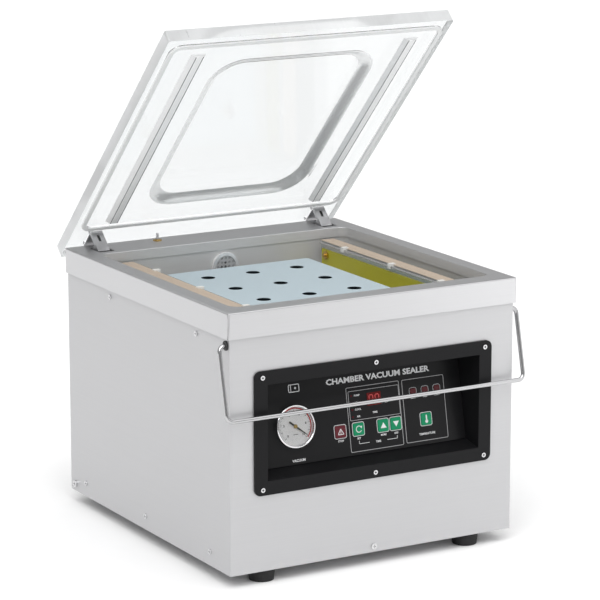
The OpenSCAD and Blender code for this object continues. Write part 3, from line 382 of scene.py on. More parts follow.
@dataclass
class Palette:
    """Makes each finish's material once."""

    groups: EffectGroups = field(default_factory=EffectGroups)
    made: dict[str, bpy.types.Material] = field(default_factory=dict)
    finishes: dict[str, Finish] = field(default_factory=lambda: {f.slot: f for f in FINISHES})

    def get(self, slot: str) -> bpy.types.Material:
        """Gives the material of a slot, building it the first time.

        Args:
            slot: The name of the finish.

        Returns:
            The material.
        """
        if slot not in self.made:
            self.made[slot] = self._build(self.finishes[slot])
        return self.made[slot]

    def _build(self, finish: Finish) -> bpy.types.Material:
        """Builds one material from its finish.

        Args:
            finish: The finish to build.

        Returns:
            The new material.
        """
        material = bpy.data.materials.new("sealer_" + finish.slot)
        material.use_nodes = True
        tree = material.node_tree
        tree.nodes.clear()
        out = tree.nodes.new("ShaderNodeOutputMaterial")
        shader = tree.nodes.new("ShaderNodeBsdfPrincipled")
        tree.links.new(shader.outputs["BSDF"], out.inputs["Surface"])
        mask = self._pattern(tree, finish.effect, finish.stretch, finish.scale)
        tint = tree.nodes.new("ShaderNodeMix")
        tint.data_type = "RGBA"
        tint.inputs[6].default_value = (*finish.shade, 1.0)
        tint.inputs[7].default_value = (*finish.colour, 1.0)
        tree.links.new(mask, tint.inputs[0])
        tree.links.new(tint.outputs[2], shader.inputs["Base Color"])
        self._roughness(tree, finish, mask, shader)
        if finish.bump > 0:
            bump = tree.nodes.new("ShaderNodeBump")
            bump.inputs["Strength"].default_value = finish.bump
            bump.inputs["Distance"].default_value = 0.1 * MM
            tree.links.new(mask, bump.inputs["Height"])
            tree.links.new(bump.outputs["Normal"], shader.inputs["Normal"])
        for socket, value in (
            ("Metallic", finish.metal),
            ("Coat Weight", finish.coat),
            ("Coat Roughness", 0.08),
            ("Transmission Weight", finish.through),
            ("IOR", finish.ior),
            ("Specular IOR Level", finish.specular),
            ("Emission Strength", finish.glow),
        ):
            shader.inputs[socket].default_value = value
        shader.inputs["Emission Color"].default_value = (*finish.colour, 1.0)
        material.diffuse_color = (*finish.colour, 1.0)
        return material

    def _pattern(
        self, tree: bpy.types.NodeTree, effect: Effect, stretch: Triple, scale: float
    ) -> bpy.types.NodeSocket:
        """Places a shared pattern in a material.

        Args:
            tree: The material's nodes.
            effect: The pattern.
            stretch: How fast it changes along each axis.
            scale: How fine it is.

        Returns:
            The mask's socket.
        """
        node = tree.nodes.new("ShaderNodeGroup")
        node.node_tree = self.groups.get(effect)
        node.inputs["Stretch"].default_value = stretch
        node.inputs["Scale"].default_value = scale
        return node.outputs["Mask"]

    def _roughness(
        self,
        tree: bpy.types.NodeTree,
        finish: Finish,
        mask: bpy.types.NodeSocket,
        shader: bpy.types.Node,
    ) -> None:
        """Joins the grain and a broad handling smudge into the roughness.

        Args:
            tree: The material's nodes.
            finish: The finish being built.
            mask: The grain's mask.
            shader: The material's shader.
        """
        span = tree.nodes.new("ShaderNodeMapRange")
        span.inputs["To Min"].default_value = finish.rough[0]
        span.inputs["To Max"].default_value = finish.rough[1]
        tree.links.new(mask, span.inputs["Value"])
        smudge = self._pattern(tree, Effect.SMUDGE, (1.0, 1.0, 1.0), 9.0)
        blend = tree.nodes.new("ShaderNodeMath")
        blend.operation = "MULTIPLY_ADD"
        blend.inputs[1].default_value = finish.smudge
        tree.links.new(smudge, blend.inputs[0])
        tree.links.new(span.outputs["Result"], blend.inputs[2])
        tree.links.new(blend.outputs["Value"], shader.inputs["Roughness"])


# ------------------------------------------------------------------ mesh helpers


@dataclass
class Workshop:
    """Turns finished bmeshes into pieces that ride on the model's bodies."""

    palette: Palette
    smooth_angle: float = math.radians(32.0)
    flat_angle: float = math.radians(0.5)
    face_weight: int = 80

    def piece(
        self,
        name: str,
        shape: bmesh.types.BMesh,
        slot: str,
        body: str,
        replaced: Sequence[str] = (),
        others: Sequence[str] = (),
    ) -> bpy.types.Object:
        """Makes a piece from a mesh that is already in place.

        Args:
            name: The piece's name.
            shape: The mesh in the model's frame, which is used up.
            slot: The finish.
            body: The body it rides on.
            replaced: The CAD nodes that it stands for.
            others: Finishes of the faces whose material index is 1 and up.

        Returns:
            The new object.
        """
        mesh = bpy.data.meshes.new(name)
        shape.to_mesh(mesh)
        shape.free()
        mesh.shade_smooth()
        mesh.set_sharp_from_angle(angle=self.smooth_angle)
        for finish in (slot, *others):
            mesh.materials.append(self.palette.get(finish))
        made = bpy.data.objects.new(name, mesh)
        bpy.context.scene.collection.objects.link(made)
        weights = made.modifiers.new("face_weights", "WEIGHTED_NORMAL")
        weights.mode = "FACE_AREA"
        weights.weight = self.face_weight
        weights.keep_sharp = True
        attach(made, body)
        if replaced:
            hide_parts(*replaced)
        LOG.info("%s: %d faces on %s", name, len(mesh.polygons), body)
        return made

    def copy_of(self, node: str) -> bmesh.types.BMesh:
        """Copies a CAD node, with its doubles merged and its flat faces joined.

        Args:
            node: The CAD node.

        Returns:
            A new mesh in the model's frame.
        """
        shape = bmesh.new()
        shape.from_mesh(frame["nodes"][node].data)
        bmesh.ops.remove_doubles(shape, verts=shape.verts, dist=SAME_SPOT)
        bmesh.ops.dissolve_limit(
            shape,
            angle_limit=self.flat_angle,
            use_dissolve_boundaries=False,
            verts=shape.verts,
            edges=shape.edges,
        )
        return shape

    def soften(self, node: str, width: float, steps: int = 2) -> bpy.types.Object:
        """Stands a copy with rounded edges in a CAD node's place.

        Args:
            node: The CAD node.
            width: The width of the rounding, in millimetres.
            steps: The rounding's segments.

        Returns:
            The new piece.
        """
        shape = self.copy_of(node)
        round_edges(shape, sharp_edges(shape), width, steps)
        slot = frame["nodes"][node].data.materials[0].name
        body = frame["nodes"][node]["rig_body"]
        return self.piece(node + "_soft", shape, slot, body, [node])


def sharp_edges(shape: bmesh.types.BMesh, angle: float = 38.0) -> list[bmesh.types.BMEdge]:
    """Gives the edges where two faces meet at more than an angle in degrees."""
    limit = math.radians(angle)
    return [e for e in shape.edges if e.is_manifold and e.calc_face_angle(0.0) > limit]


def round_edges(
    shape: bmesh.types.BMesh,
    edges: Iterable[bmesh.types.BMEdge],
    width: float,
    steps: int,
    clamp: bool = True,
) -> None:
    """Rounds some edges of a mesh.

    Args:
        shape: The mesh.
        edges: The edges to round.
        width: The rounding's width in millimetres.
        steps: Its segments.
        clamp: Whether neighbouring roundings stop where they meet.
    """
    bmesh.ops.bevel(
        shape,
        geom=list(edges),
        offset=width * MM,
        offset_type="OFFSET",
        affect="EDGES",
        segments=steps,
        profile=0.5,
        material=-1,
        clamp_overlap=clamp,
        loop_slide=True,
    )


def lathe(profile: Sequence[Pair], steps: int) -> bmesh.types.BMesh:
    """Turns a profile round the Z axis.

    Args:
        profile: Radius and height of each point, in millimetres, from the foot up.
        steps: The number of steps in the full turn.

    Returns:
        The closed mesh.
    """
    shape = bmesh.new()
    points = [shape.verts.new((r * MM, 0.0, z * MM)) for r, z in profile]
    edges = [shape.edges.new(pair) for pair in zip(points, points[1:])]
    bmesh.ops.spin(
        shape,
        geom=points + edges,
        cent=(0.0, 0.0, 0.0),
        axis=(0.0, 0.0, 1.0),
        angle=math.tau,
        steps=steps,
        use_merge=True,
    )
    bmesh.ops.remove_doubles(shape, verts=shape.verts, dist=SAME_SPOT)
    bmesh.ops.recalc_face_normals(shape, faces=shape.faces)
    return shape


def raised_print(shape: bmesh.types.BMesh) -> bmesh.types.BMesh:
    """Gives flat faces the thickness of a print.

    Args:
        shape: The flat faces, on the plane Z = 0.

    Returns:
        The same mesh, standing on that plane.
    """
    raised = bmesh.ops.extrude_face_region(shape, geom=list(shape.faces))
    lifted = [g for g in raised["geom"] if isinstance(g, bmesh.types.BMVert)]
    bmesh.ops.translate(shape, verts=lifted, vec=(0.0, 0.0, PRINT_HEIGHT * MM))
    bmesh.ops.recalc_face_normals(shape, faces=shape.faces)
    return shape


def sheet_of(outline: Sequence[Pair]) -> bmesh.types.BMesh:
    """Makes a thin raised print from a flat outline.

    Args:
        outline: The corners, in millimetres, counter-clockwise.

    Returns:
        The mesh, standing on the plane Z = 0.
    """
    shape = bmesh.new()
    shape.faces.new([shape.verts.new((x * MM, y * MM, 0.0)) for x, y in outline])
    return raised_print(shape)


def frame_of(width: float, height: float, line: float, corner: float) -> bmesh.types.BMesh:
    """Makes the thin outline of a rectangle with rounded corners.

    Args:
        width: The outer width in millimetres.
        height: The outer height in millimetres.
        line: The line's width in millimetres.
        corner: The outer corner radius in millimetres.

    Returns:
        The mesh, centred on the origin.
    """
    shape = bmesh.new()
    made = bmesh.ops.create_grid(shape, x_segments=1, y_segments=1, size=0.5)
    bmesh.ops.scale(shape, verts=made["verts"], vec=(width * MM, height * MM, 1.0))
    bmesh.ops.bevel(
        shape, geom=list(shape.verts), offset=corner * MM, offset_type="OFFSET", affect="VERTICES",
        segments=4, profile=0.5, material=-1,
    )
    inner = bmesh.ops.inset_region(
        shape, faces=list(shape.faces), thickness=line * MM, use_boundary=True,
        use_even_offset=True,
    )
    rim = set(inner["faces"])
    bmesh.ops.delete(shape, geom=[f for f in shape.faces if f not in rim], context="FACES")
    return raised_print(shape)


def bar_of(width: float, height: float) -> bmesh.types.BMesh:
    """Makes a thin rectangle centred on the origin."""
    w, h = width / 2, height / 2
    return sheet_of([(-w, -h), (w, -h), (w, h), (-w, h)])


def disc_of(radius: float, sides: int) -> bmesh.types.BMesh:
    """Makes a thin disc, or a regular polygon, centred on the origin."""
    turn = math.tau / sides
    return sheet_of(
        [(radius * math.cos(i * turn), radius * math.sin(i * turn)) for i in range(sides)]
    )


def arc_of(
    radius: float, line: float, start: float, end: float, steps: int = 24
) -> bmesh.types.BMesh:
    """Makes a thin band along an arc.

    Args:
        radius: The band's middle radius in millimetres.
        line: The band's width in millimetres.
        start: The first angle in degrees, counter-clockwise from +X.
        end: The last angle in degrees.
        steps: The number of steps along it.

    Returns:
        The mesh.
    """
    turns = [math.radians(start + (end - start) * i / steps) for i in range(steps + 1)]
    outer, inner = (
        [(reach * math.cos(a), reach * math.sin(a)) for a in turns]
        for reach in (radius + line / 2, radius - line / 2)
    )
    return sheet_of(outer + inner[::-1])


def corners_of(shape: bmesh.types.BMesh) -> tuple[Vector, Vector]:
    """Gives the lowest and highest corner of a mesh's box."""
    low, high = ([pick(v.co[i] for v in shape.verts) for i in range(3)] for pick in (min, max))
    return Vector(low), Vector(high)


def words_of(
    text: str, height: float, width: float | None = None, weight: float = 0.026
) -> bmesh.types.BMesh:
    """Makes flat lettering or figures centred on the origin.

    Args:
        text: Plain generic words or numbers.
        height: The height of its capitals in millimetres.
        width: The whole width in millimetres, or None to leave it as it falls.
        weight: How much the strokes are thickened, as a share of the type's size.

    Returns:
        The mesh.
    """
    curve = bpy.data.curves.new("lettering", "FONT")
    curve.body = text
    curve.resolution_u = 2
    curve.offset = weight
    holder = bpy.data.objects.new("lettering", curve)
    bpy.context.scene.collection.objects.link(holder)
    flat = bpy.data.meshes.new_from_object(
        holder.evaluated_get(bpy.context.evaluated_depsgraph_get())
    )
    bpy.data.objects.remove(holder)
    bpy.data.curves.remove(curve)
    shape = bmesh.new()
    shape.from_mesh(flat)
    bpy.data.meshes.remove(flat)
    low, high = corners_of(shape)
    bmesh.ops.translate(shape, verts=shape.verts, vec=-(low + high) / 2)
    tall = height * MM / (high.y - low.y)
    wide = tall if width is None else width * MM / (high.x - low.x)
    bmesh.ops.scale(shape, verts=shape.verts, vec=(wide, tall, 1.0))
    bmesh.ops.translate(shape, verts=shape.verts, vec=(0.0, 0.0, PRINT_HEIGHT * MM))
    return shape


def joined(shapes: Iterable[bmesh.types.BMesh]) -> bmesh.types.BMesh:
    """Puts several meshes into one.

    Args:
        shapes: The meshes, which are used up.

    Returns:
        The new mesh.
    """
    whole = bmesh.new()
    for shape in shapes:
        part = bpy.data.meshes.new("part")
        shape.to_mesh(part)
        shape.free()
        whole.from_mesh(part)
        bpy.data.meshes.remove(part)
    return whole


def placed(shape: bmesh.types.BMesh, matrix: Matrix) -> bmesh.types.BMesh:
    """Moves a mesh by a matrix and gives it back."""
    bmesh.ops.transform(shape, matrix=matrix, verts=shape.verts)
    return shape


def moved(
    shape: bmesh.types.BMesh, x: float = 0.0, y: float = 0.0, turn: float = 0.0
) -> bmesh.types.BMesh:
    """Turns a flat mesh by degrees about Z and then shifts it by millimetres."""
    turned = Matrix.Rotation(math.radians(turn), 4, "Z")
    return placed(shape, Matrix.Translation((x * MM, y * MM, 0.0)) @ turned)


def plane_matrix(across: Vector, up: Vector, out: Vector, origin: Vector) -> Matrix:
    """Gives the matrix whose X, Y and Z run along three directions from an origin."""
    return Matrix((*zip(across, up, out, origin), (0.0, 0.0, 0.0, 1.0)))


def joint_named(name: str) -> dict:
    """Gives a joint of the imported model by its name."""
    return next(j for j in frame["joints"] if j["name"] == name)


# ------------------------------------------------------------------ sub-assemblies


@dataclass
class SoftEdges:
    """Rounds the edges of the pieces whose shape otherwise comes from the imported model."""

    shop: Workshop
    widths: dict[str, float] = field(
        default_factory=lambda: {
            "front_panel": 0.35,
            "side_panel_left": 0.35,
            "side_panel_right": 0.35,
            "rear_panel": 0.35,
            "feet": 0.9,
            "cabinet_screws": 0.3,
            "control_housing": 0.8,
            "control_panel": 0.2,
            "display_window": 0.25,
            "indicator_lamps": 0.45,
            "stop_key": 0.5,
            "set_key": 0.5,
            "up_key": 0.5,
            "down_key": 0.5,
            "temperature_key": 0.5,
            "bail_bushes": 0.4,
            "hinge_brackets": 0.35,
            "hinge_pins": 0.5,
            "hinge_straps": 0.35,
            "hinge_screws": 0.3,
            "lid_gasket": 1.2,
            "pressure_strips": 0.6,
            "insulation_board_left": 0.2,
            "insulation_board_right": 0.2,
            "rod_clips_left": 0.4,
            "rod_clips_right": 0.4,
            "vacuum_port": 0.7,
            "switch_bush": 0.25,
            "power_inlet": 0.5,
            "power_rocker": 0.4,
            "vacuum_pump": 1.0,
            "release_valve": 0.4,
        }
    )

    def build(self) -> None:
        """Makes a softened copy of each listed piece."""
        for node, width in self.widths.items():
            self.shop.soften(node, width)


@dataclass
class Deck:
    """The pressed deck, whose chamber rim is rolled over. Sizes are in millimetres."""

    shop: Workshop
    sheet: float = 1.5
    rim_radius: float = 4.5
    rim_steps: int = 5
    upright: float = 0.1

    def build(self) -> None:
        """Rolls the sheet over from the deck's face into the lip round the chamber."""
        shape = self.shop.copy_of("top_deck")
        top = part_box("top_deck")[1].z
        for depth, radius in ((0.0, self.rim_radius), (self.sheet, self.rim_radius - self.sheet)):
            rim = [e for e in sharp_edges(shape) if self._on_rim(e, top - depth * MM)]
            round_edges(shape, rim, radius, self.rim_steps)
        foot = top - self.rim_radius * MM
        for face in shape.faces:
            spot = face.calc_center_median()
            if self._within(spot) and spot.z < foot and abs(face.normal.z) < self.upright:
                face.material_index = 1
        self.shop.piece(
            "top_deck_soft", shape, "deck_steel", "cabinet", ["top_deck"], ["chamber_steel"]
        )

    @staticmethod
    def _within(spot: Vector) -> bool:
        """Tells whether a spot is inside the chamber's outline, seen from above."""
        low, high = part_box("chamber_tub")
        return low.x < spot.x < high.x and low.y < spot.y < high.y

    def _on_rim(self, edge: bmesh.types.BMEdge, level: float) -> bool:
        """Tells whether an edge runs round the chamber's opening at a height."""
        return all(abs(v.co.z - level) < 0.01 * MM and self._within(v.co) for v in edge.verts)


@dataclass
class Plate:
    """The filler plate: pale plastic with a near-black finish painted on the walls of its holes as
    shade.

    Sizes are in millimetres, and upright is the largest slope of a hole's wall.
    """

    shop: Workshop
    edge: float = 0.9
    margin: float = 12.0
    upright: float = 0.3

    def build(self) -> None:
        """Rounds the plate's edges and paints shade on the walls of its holes."""
        shape = self.shop.copy_of("spacer_plate")
        round_edges(shape, sharp_edges(shape), self.edge, 2)
        low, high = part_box("spacer_plate")
        inset = self.margin * MM
        for face in shape.faces:
            spot = face.calc_center_median()
            inside = all(low[i] + inset < spot[i] < high[i] - inset for i in (0, 1))
            # Steep faces inside the margin are the hole walls, which take the painted shade
            # finish.
            if inside and abs(face.normal.z) < self.upright:
                face.material_index = 1
        self.shop.piece(
            "spacer_plate_soft", shape, "plate_plastic", "spacer_plate", ["spacer_plate"],
            ["plate_core"],
        )


@dataclass
class SealBar:
    """One seal bar, its coated cloth and its rod, with roundings in millimetres."""

    shop: Workshop
    side: str
    bar_edge: float = 0.5
    tape_edge: float = 0.15
    rod_edge: float = 0.4

    def build(self) -> None:
        """Rounds the edges of the bar, of its cloth and of the rod's ends."""
        self.shop.soften(f"seal_bar_{self.side}", self.bar_edge)
        self.shop.soften(f"seal_tape_{self.side}", self.tape_edge)
        self.shop.soften(f"bag_rod_{self.side}", self.rod_edge)


@dataclass
class PanelPlace:
    """The leaning face of the control panel as a drawing board.

    X runs across from the middle, Y up the slope from the panel's foot, Z out of its face.
    The panel's thickness and its foot's allowance are in millimetres.
    """

    thickness: float = 2.0
    foot: float = 0.3
    matrix: Matrix = field(init=False)

    def __post_init__(self) -> None:
        """Finds the lean from a key's travel and the foot from the panel's box."""
        inward = Vector(joint_named("stop_key_press")["axis"]).normalized()
        out, up = -inward, Vector((0.0, -inward.z, inward.y))
        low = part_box("control_panel")[0]
        lowest = Vector((0.0, low.y, low.z + self.thickness * MM * out.z))
        origin = lowest - up * self.foot * MM
        level = max(v.co.dot(out) for v in frame["nodes"]["control_panel"].data.vertices)
        origin += out * (level - origin.dot(out))
        self.matrix = plane_matrix(Vector((1.0, 0.0, 0.0)), up, out, origin)

    def at(self, x: float, y: float, lift: float = 0.0) -> Matrix:
        """Gives the matrix of a spot on the face, in millimetres."""
        return self.matrix @ Matrix.Translation((x * MM, y * MM, lift * MM))


class KeyIcon(Enum):
    """The pictogram on each key."""

    STOP = "stop"
    SET = "set"
    UP = "up"
    DOWN = "down"
    TEMPERATURE = "temperature"


@dataclass
class PanelPrint:
    """Frames, plain labels and pictograms printed on the panel. Sizes are in millimetres."""

    shop: Workshop
    place: PanelPlace
    key_row: float = 35.0
    key_size: float = 16.5
    key_height: float = 1.5
    lamp_columns: Triple = (82.7, 101.7, 120.7)
    key_columns: dict[KeyIcon, float] = field(
        default_factory=lambda: {
            KeyIcon.STOP: -36.0,
            KeyIcon.SET: -7.7,
            KeyIcon.UP: 31.0,
            KeyIcon.DOWN: 51.0,
            KeyIcon.TEMPERATURE: 99.7,
        }
    )

    def build(self) -> None:
        """Prints everything on the panel and on the keys."""
        self._title()
        self._boxes()
        self._labels()
        for icon, column in self.key_columns.items():
            self._key(icon, column)

    def _print(
        self,
        name: str,
        shape: bmesh.types.BMesh,
        at: Matrix,
        body: str = "cabinet",
        ink: str = "print_white",
    ) -> None:
        """Places a flat print on the panel and rides it on a body."""
        self.shop.piece(name, placed(shape, at), ink, body)

    def _title(self) -> None:
        """A plain heading, and a small pouch pictogram in the corner."""
        self._print("panel_heading", words_of("CHAMBER VACUUM SEALER", 8.2, 163.0, 0.034),
                    self.place.at(30.2, 103.2))
        pouch = joined([
            frame_of(17.0, 11.0, 1.1, 2.0),
            moved(bar_of(1.1, 11.0), -4.6),
            moved(disc_of(1.5, 20), 2.2),
        ])
        self._print("pouch_pictogram", pouch, self.place.at(-101.0, 102.0))

    def _boxes(self) -> None:
        """The fine frames round the two groups of controls and the display."""
        lines = joined([
            moved(frame_of(83.5, 87.8, 0.7, 2.0), 19.8, 48.4),
            moved(frame_of(79.5, 40.0, 0.6, 1.5), 20.7, 67.0),
            moved(frame_of(67.0, 86.5, 0.7, 2.0), 99.5, 48.8),
        ])
        self._print("panel_frames", lines, self.place.at(0.0, 0.0), ink="print_grey")
        bracket = joined([
            moved(bar_of(16.0, 0.6), 0.0, 15.0),
            moved(bar_of(16.0, 0.6), 44.0, 15.0),
            moved(bar_of(0.6, 4.0), -8.0, 17.0),
            moved(bar_of(0.6, 4.0), 52.0, 17.0),
        ])
        self._print("time_bracket", bracket, self.place.at(0.0, 0.0))
        outlines = joined(
            moved(frame_of(12.0, 10.6, 0.6, 3.4), x, 75.0) for x in self.lamp_columns
        )
        self._print("lamp_outlines", outlines, self.place.at(0.0, 0.0), ink="print_grey")

    def _labels(self) -> None:
        """Plain words beside the lamps, the display and the keys."""
        words = (
            ("VACUUM", -103.0, 5.5, 3.6),
            ("STOP", -36.0, 22.4, 2.8),
            ("SET", -7.7, 22.4, 2.8),
            ("MORE", 31.0, 22.4, 2.5),
            ("LESS", 51.0, 22.4, 2.5),
            ("TIME", 22.0, 14.6, 2.8),
            ("TEMPERATURE", 99.7, 15.0, 2.9),
            *((text, x, 66.2, 2.6) for text, x in zip(("LOW", "MID", "HIGH"), self.lamp_columns)),
            ("PUMP", -5.4, 80.5, 2.6),
            ("SEAL", -5.4, 71.0, 2.6),
            ("COOL", -5.4, 61.5, 2.6),
            ("AIR", -5.4, 52.0, 2.6),
            ("SEC", 39.8, 66.5, 2.4),
            ("TIME", 20.6, 54.5, 2.6),
        )
        shapes = [moved(words_of(text, tall), x, y) for text, x, y, tall in words]
        self._print("panel_labels", joined(shapes), self.place.at(0.0, 0.0))

    def _key(self, icon: KeyIcon, column: float) -> None:
        """One key's pale border on the panel and its pictogram on the cap.

        Args:
            icon: The key.
            column: Its place across the panel in millimetres.
        """
        border = self.key_size + 2.6
        self._print(icon.value + "_key_border", frame_of(border, border, 0.8, 3.0),
                    self.place.at(column, self.key_row))
        self._print(icon.value + "_key_icon", self._pictogram(icon),
                    self.place.at(column, self.key_row, self.key_height), icon.value + "_key")

    @staticmethod
    def _pictogram(icon: KeyIcon) -> bmesh.types.BMesh:
        """Draws a key's pictogram.

        Args:
            icon: The key.

        Returns:
            A thin mesh centred on the origin.
        """
        triangle = [(-4.6, -3.4), (4.6, -3.4), (0.0, 4.2)]
        if icon is KeyIcon.STOP:
            return joined([
                moved(bar_of(8.6, 0.9), -2.2, 0.2, 60.0),
                moved(bar_of(8.6, 0.9), 2.2, 0.2, -60.0),
                moved(bar_of(8.6, 0.9), 0.0, -3.6),
                moved(bar_of(0.9, 2.9), 0.0, 0.3),
                moved(disc_of(0.6, 12), 0.0, -2.1),
            ])
        if icon is KeyIcon.SET:
            return joined([
                arc_of(4.2, 1.0, 40.0, 330.0),
                moved(sheet_of([(-1.7, -1.6), (1.7, -1.6), (0.0, 1.7)]), 3.9, 2.2, 190.0),
            ])
        if icon is KeyIcon.UP:
            return sheet_of(triangle)
        if icon is KeyIcon.DOWN:
            return moved(sheet_of(triangle), turn=180.0)
        return joined([
            moved(disc_of(2.3, 24), 0.0, -3.2),
            moved(bar_of(2.0, 7.4), 0.0, 1.0),
            moved(disc_of(1.0, 16), 0.0, 4.7),
        ])


@dataclass
class Display:
    """The two-figure display on its red window. Sizes are in millimetres."""

    shop: Workshop
    place: PanelPlace
    centre: tuple[float, float] = (20.5, 73.0)
    pitch: float = 9.4
    height: float = 11.0
    width: float = 5.8
    stroke: float = 1.15
    window: float = 0.8

    def build(self) -> None:
        """Lights up both figures."""
        figures = [moved(self._figure("abcdef"), (i - 0.5) * self.pitch) for i in (0, 1)]
        self.shop.piece(
            "display_figures",
            placed(joined(figures), self.place.at(*self.centre, self.window)),
            "digit_glow",
            "cabinet",
        )

    def _figure(self, lit: str) -> bmesh.types.BMesh:
        """Draws one figure from the segments that are lit.

        Args:
            lit: The letters of the lit segments, a at the top and then clockwise, g across.

        Returns:
            A thin mesh centred on the origin.
        """
        w, h, s = self.width / 2, self.height / 2, self.stroke
        level = {"a": (0.0, h), "d": (0.0, -h), "g": (0.0, 0.0)}
        upright = {"b": (w, h / 2), "c": (w, -h / 2), "e": (-w, -h / 2), "f": (-w, h / 2)}
        strokes = [moved(bar_of(2 * w - s, s), *level[k]) for k in lit if k in level]
        strokes += [moved(bar_of(s, h - s), *upright[k]) for k in lit if k in upright]
        return joined(strokes)


@dataclass
class Gauge:
    """The dial gauge: bright rolled ring, printed dial, painted needle and clear lens.

    Sizes are in millimetres and angles in degrees. The dial lies at dish and its print above
    it at face. The scale runs clockwise from start through sweep.
    """

    shop: Workshop
    place: PanelPlace
    centre: tuple[float, float] = (-105.6, 51.6)
    ring: float = 29.5
    case: float = 27.0
    dish: float = 1.4
    face: float = 2.0
    divisions: int = 50
    tick_end: float = 23.2
    figure_reach: float = 16.8
    start: float = 225.0
    sweep: float = 270.0
    needle_turn: float = -38.0
    blade_top: float = 3.5

    def build(self) -> None:
        """Builds the case, the dial's print, the needle's hub and the lens."""
        case = lathe([
            (0.0, -40.0), (5.4, -40.0), (6.0, -39.4), (6.0, -28.0), (self.case - 1.5, -28.0),
            (self.case, -26.5), (self.case, 0.05), (self.ring - 0.4, 0.05), (self.ring, 0.6),
            (self.ring, 5.2), (self.ring - 0.35, 6.2), (self.ring - 1.1, 6.8),
            (self.ring - 2.0, 7.0), (self.ring - 2.7, 6.6), (self.ring - 3.0, 5.9),
            (self.ring - 3.2, 5.0), (self.ring - 3.25, self.dish), (0.0, self.dish),
        ], 72)
        self._place("gauge_case_turned", case, "gauge_ring", replaced=["gauge_case"])
        lens_r = self.ring - 2.9
        lens = lathe([
            (0.0, 5.0), (lens_r - 0.3, 5.0), (lens_r, 5.2), (lens_r, 5.7), (lens_r - 0.6, 6.0),
            (lens_r * 0.6, 6.35), (0.0, 6.5),
        ], 64)
        self._place("gauge_lens_domed", lens, "gauge_glass", replaced=["gauge_lens"])
        self._print_dial()
        self._needle()

    def _place(
        self,
        name: str,
        shape: bmesh.types.BMesh,
        slot: str,
        body: str = "cabinet",
        replaced: Sequence[str] = (),
        lift: float = 0.0,
    ) -> None:
        """Puts a mesh made about the gauge's axis on the panel."""
        at = self.place.at(*self.centre, lift)
        self.shop.piece(name, placed(shape, at), slot, body, replaced)

    def _along(self, share: float, reach: float) -> tuple[float, float, float]:
        """Gives a spot on the scale, and its angle in degrees, from its share of the sweep."""
        angle = self.start - self.sweep * share
        return (
            reach * math.cos(math.radians(angle)), reach * math.sin(math.radians(angle)), angle,
        )

    def _print_dial(self) -> None:
        """Prints the ticks, the figures, the red band and a short line for the unit."""
        marks = []
        for i in range(self.divisions + 1):
            length, line = (3.0, 0.55) if i % 5 == 0 else (1.7, 0.28)
            spot = self._along(i / self.divisions, self.tick_end - length / 2)
            marks.append(moved(bar_of(length, line), *spot))
        for i in range(6):
            x, y, _ = self._along(i / 5, self.figure_reach)
            marks.append(moved(words_of(str(2 * i), 3.1), x, y))
        self._place("dial_ticks", joined(marks), "print_black", lift=self.face)
        band = arc_of(24.3, 1.9, -42.0, 132.0, 40)
        self._place("dial_band", band, "print_red", lift=self.face)
        unit = moved(bar_of(7.0, 0.7), 0.0, -11.0)
        self._place("dial_unit", unit, "print_black", lift=self.face)

    def _needle(self) -> None:
        """Lays black paint over the blade and leaves the brass hub bare."""
        self.shop.soften("gauge_needle", 0.12)
        half = [(-11.2, -1.25), (0.0, -1.25), (21.3, -0.45)]
        blade = sheet_of(half + [(x, -y) for x, y in reversed(half)])
        paint = moved(blade, turn=self.needle_turn)
        self._place("needle_paint", paint, "print_black", "gauge_needle", lift=self.blade_top)


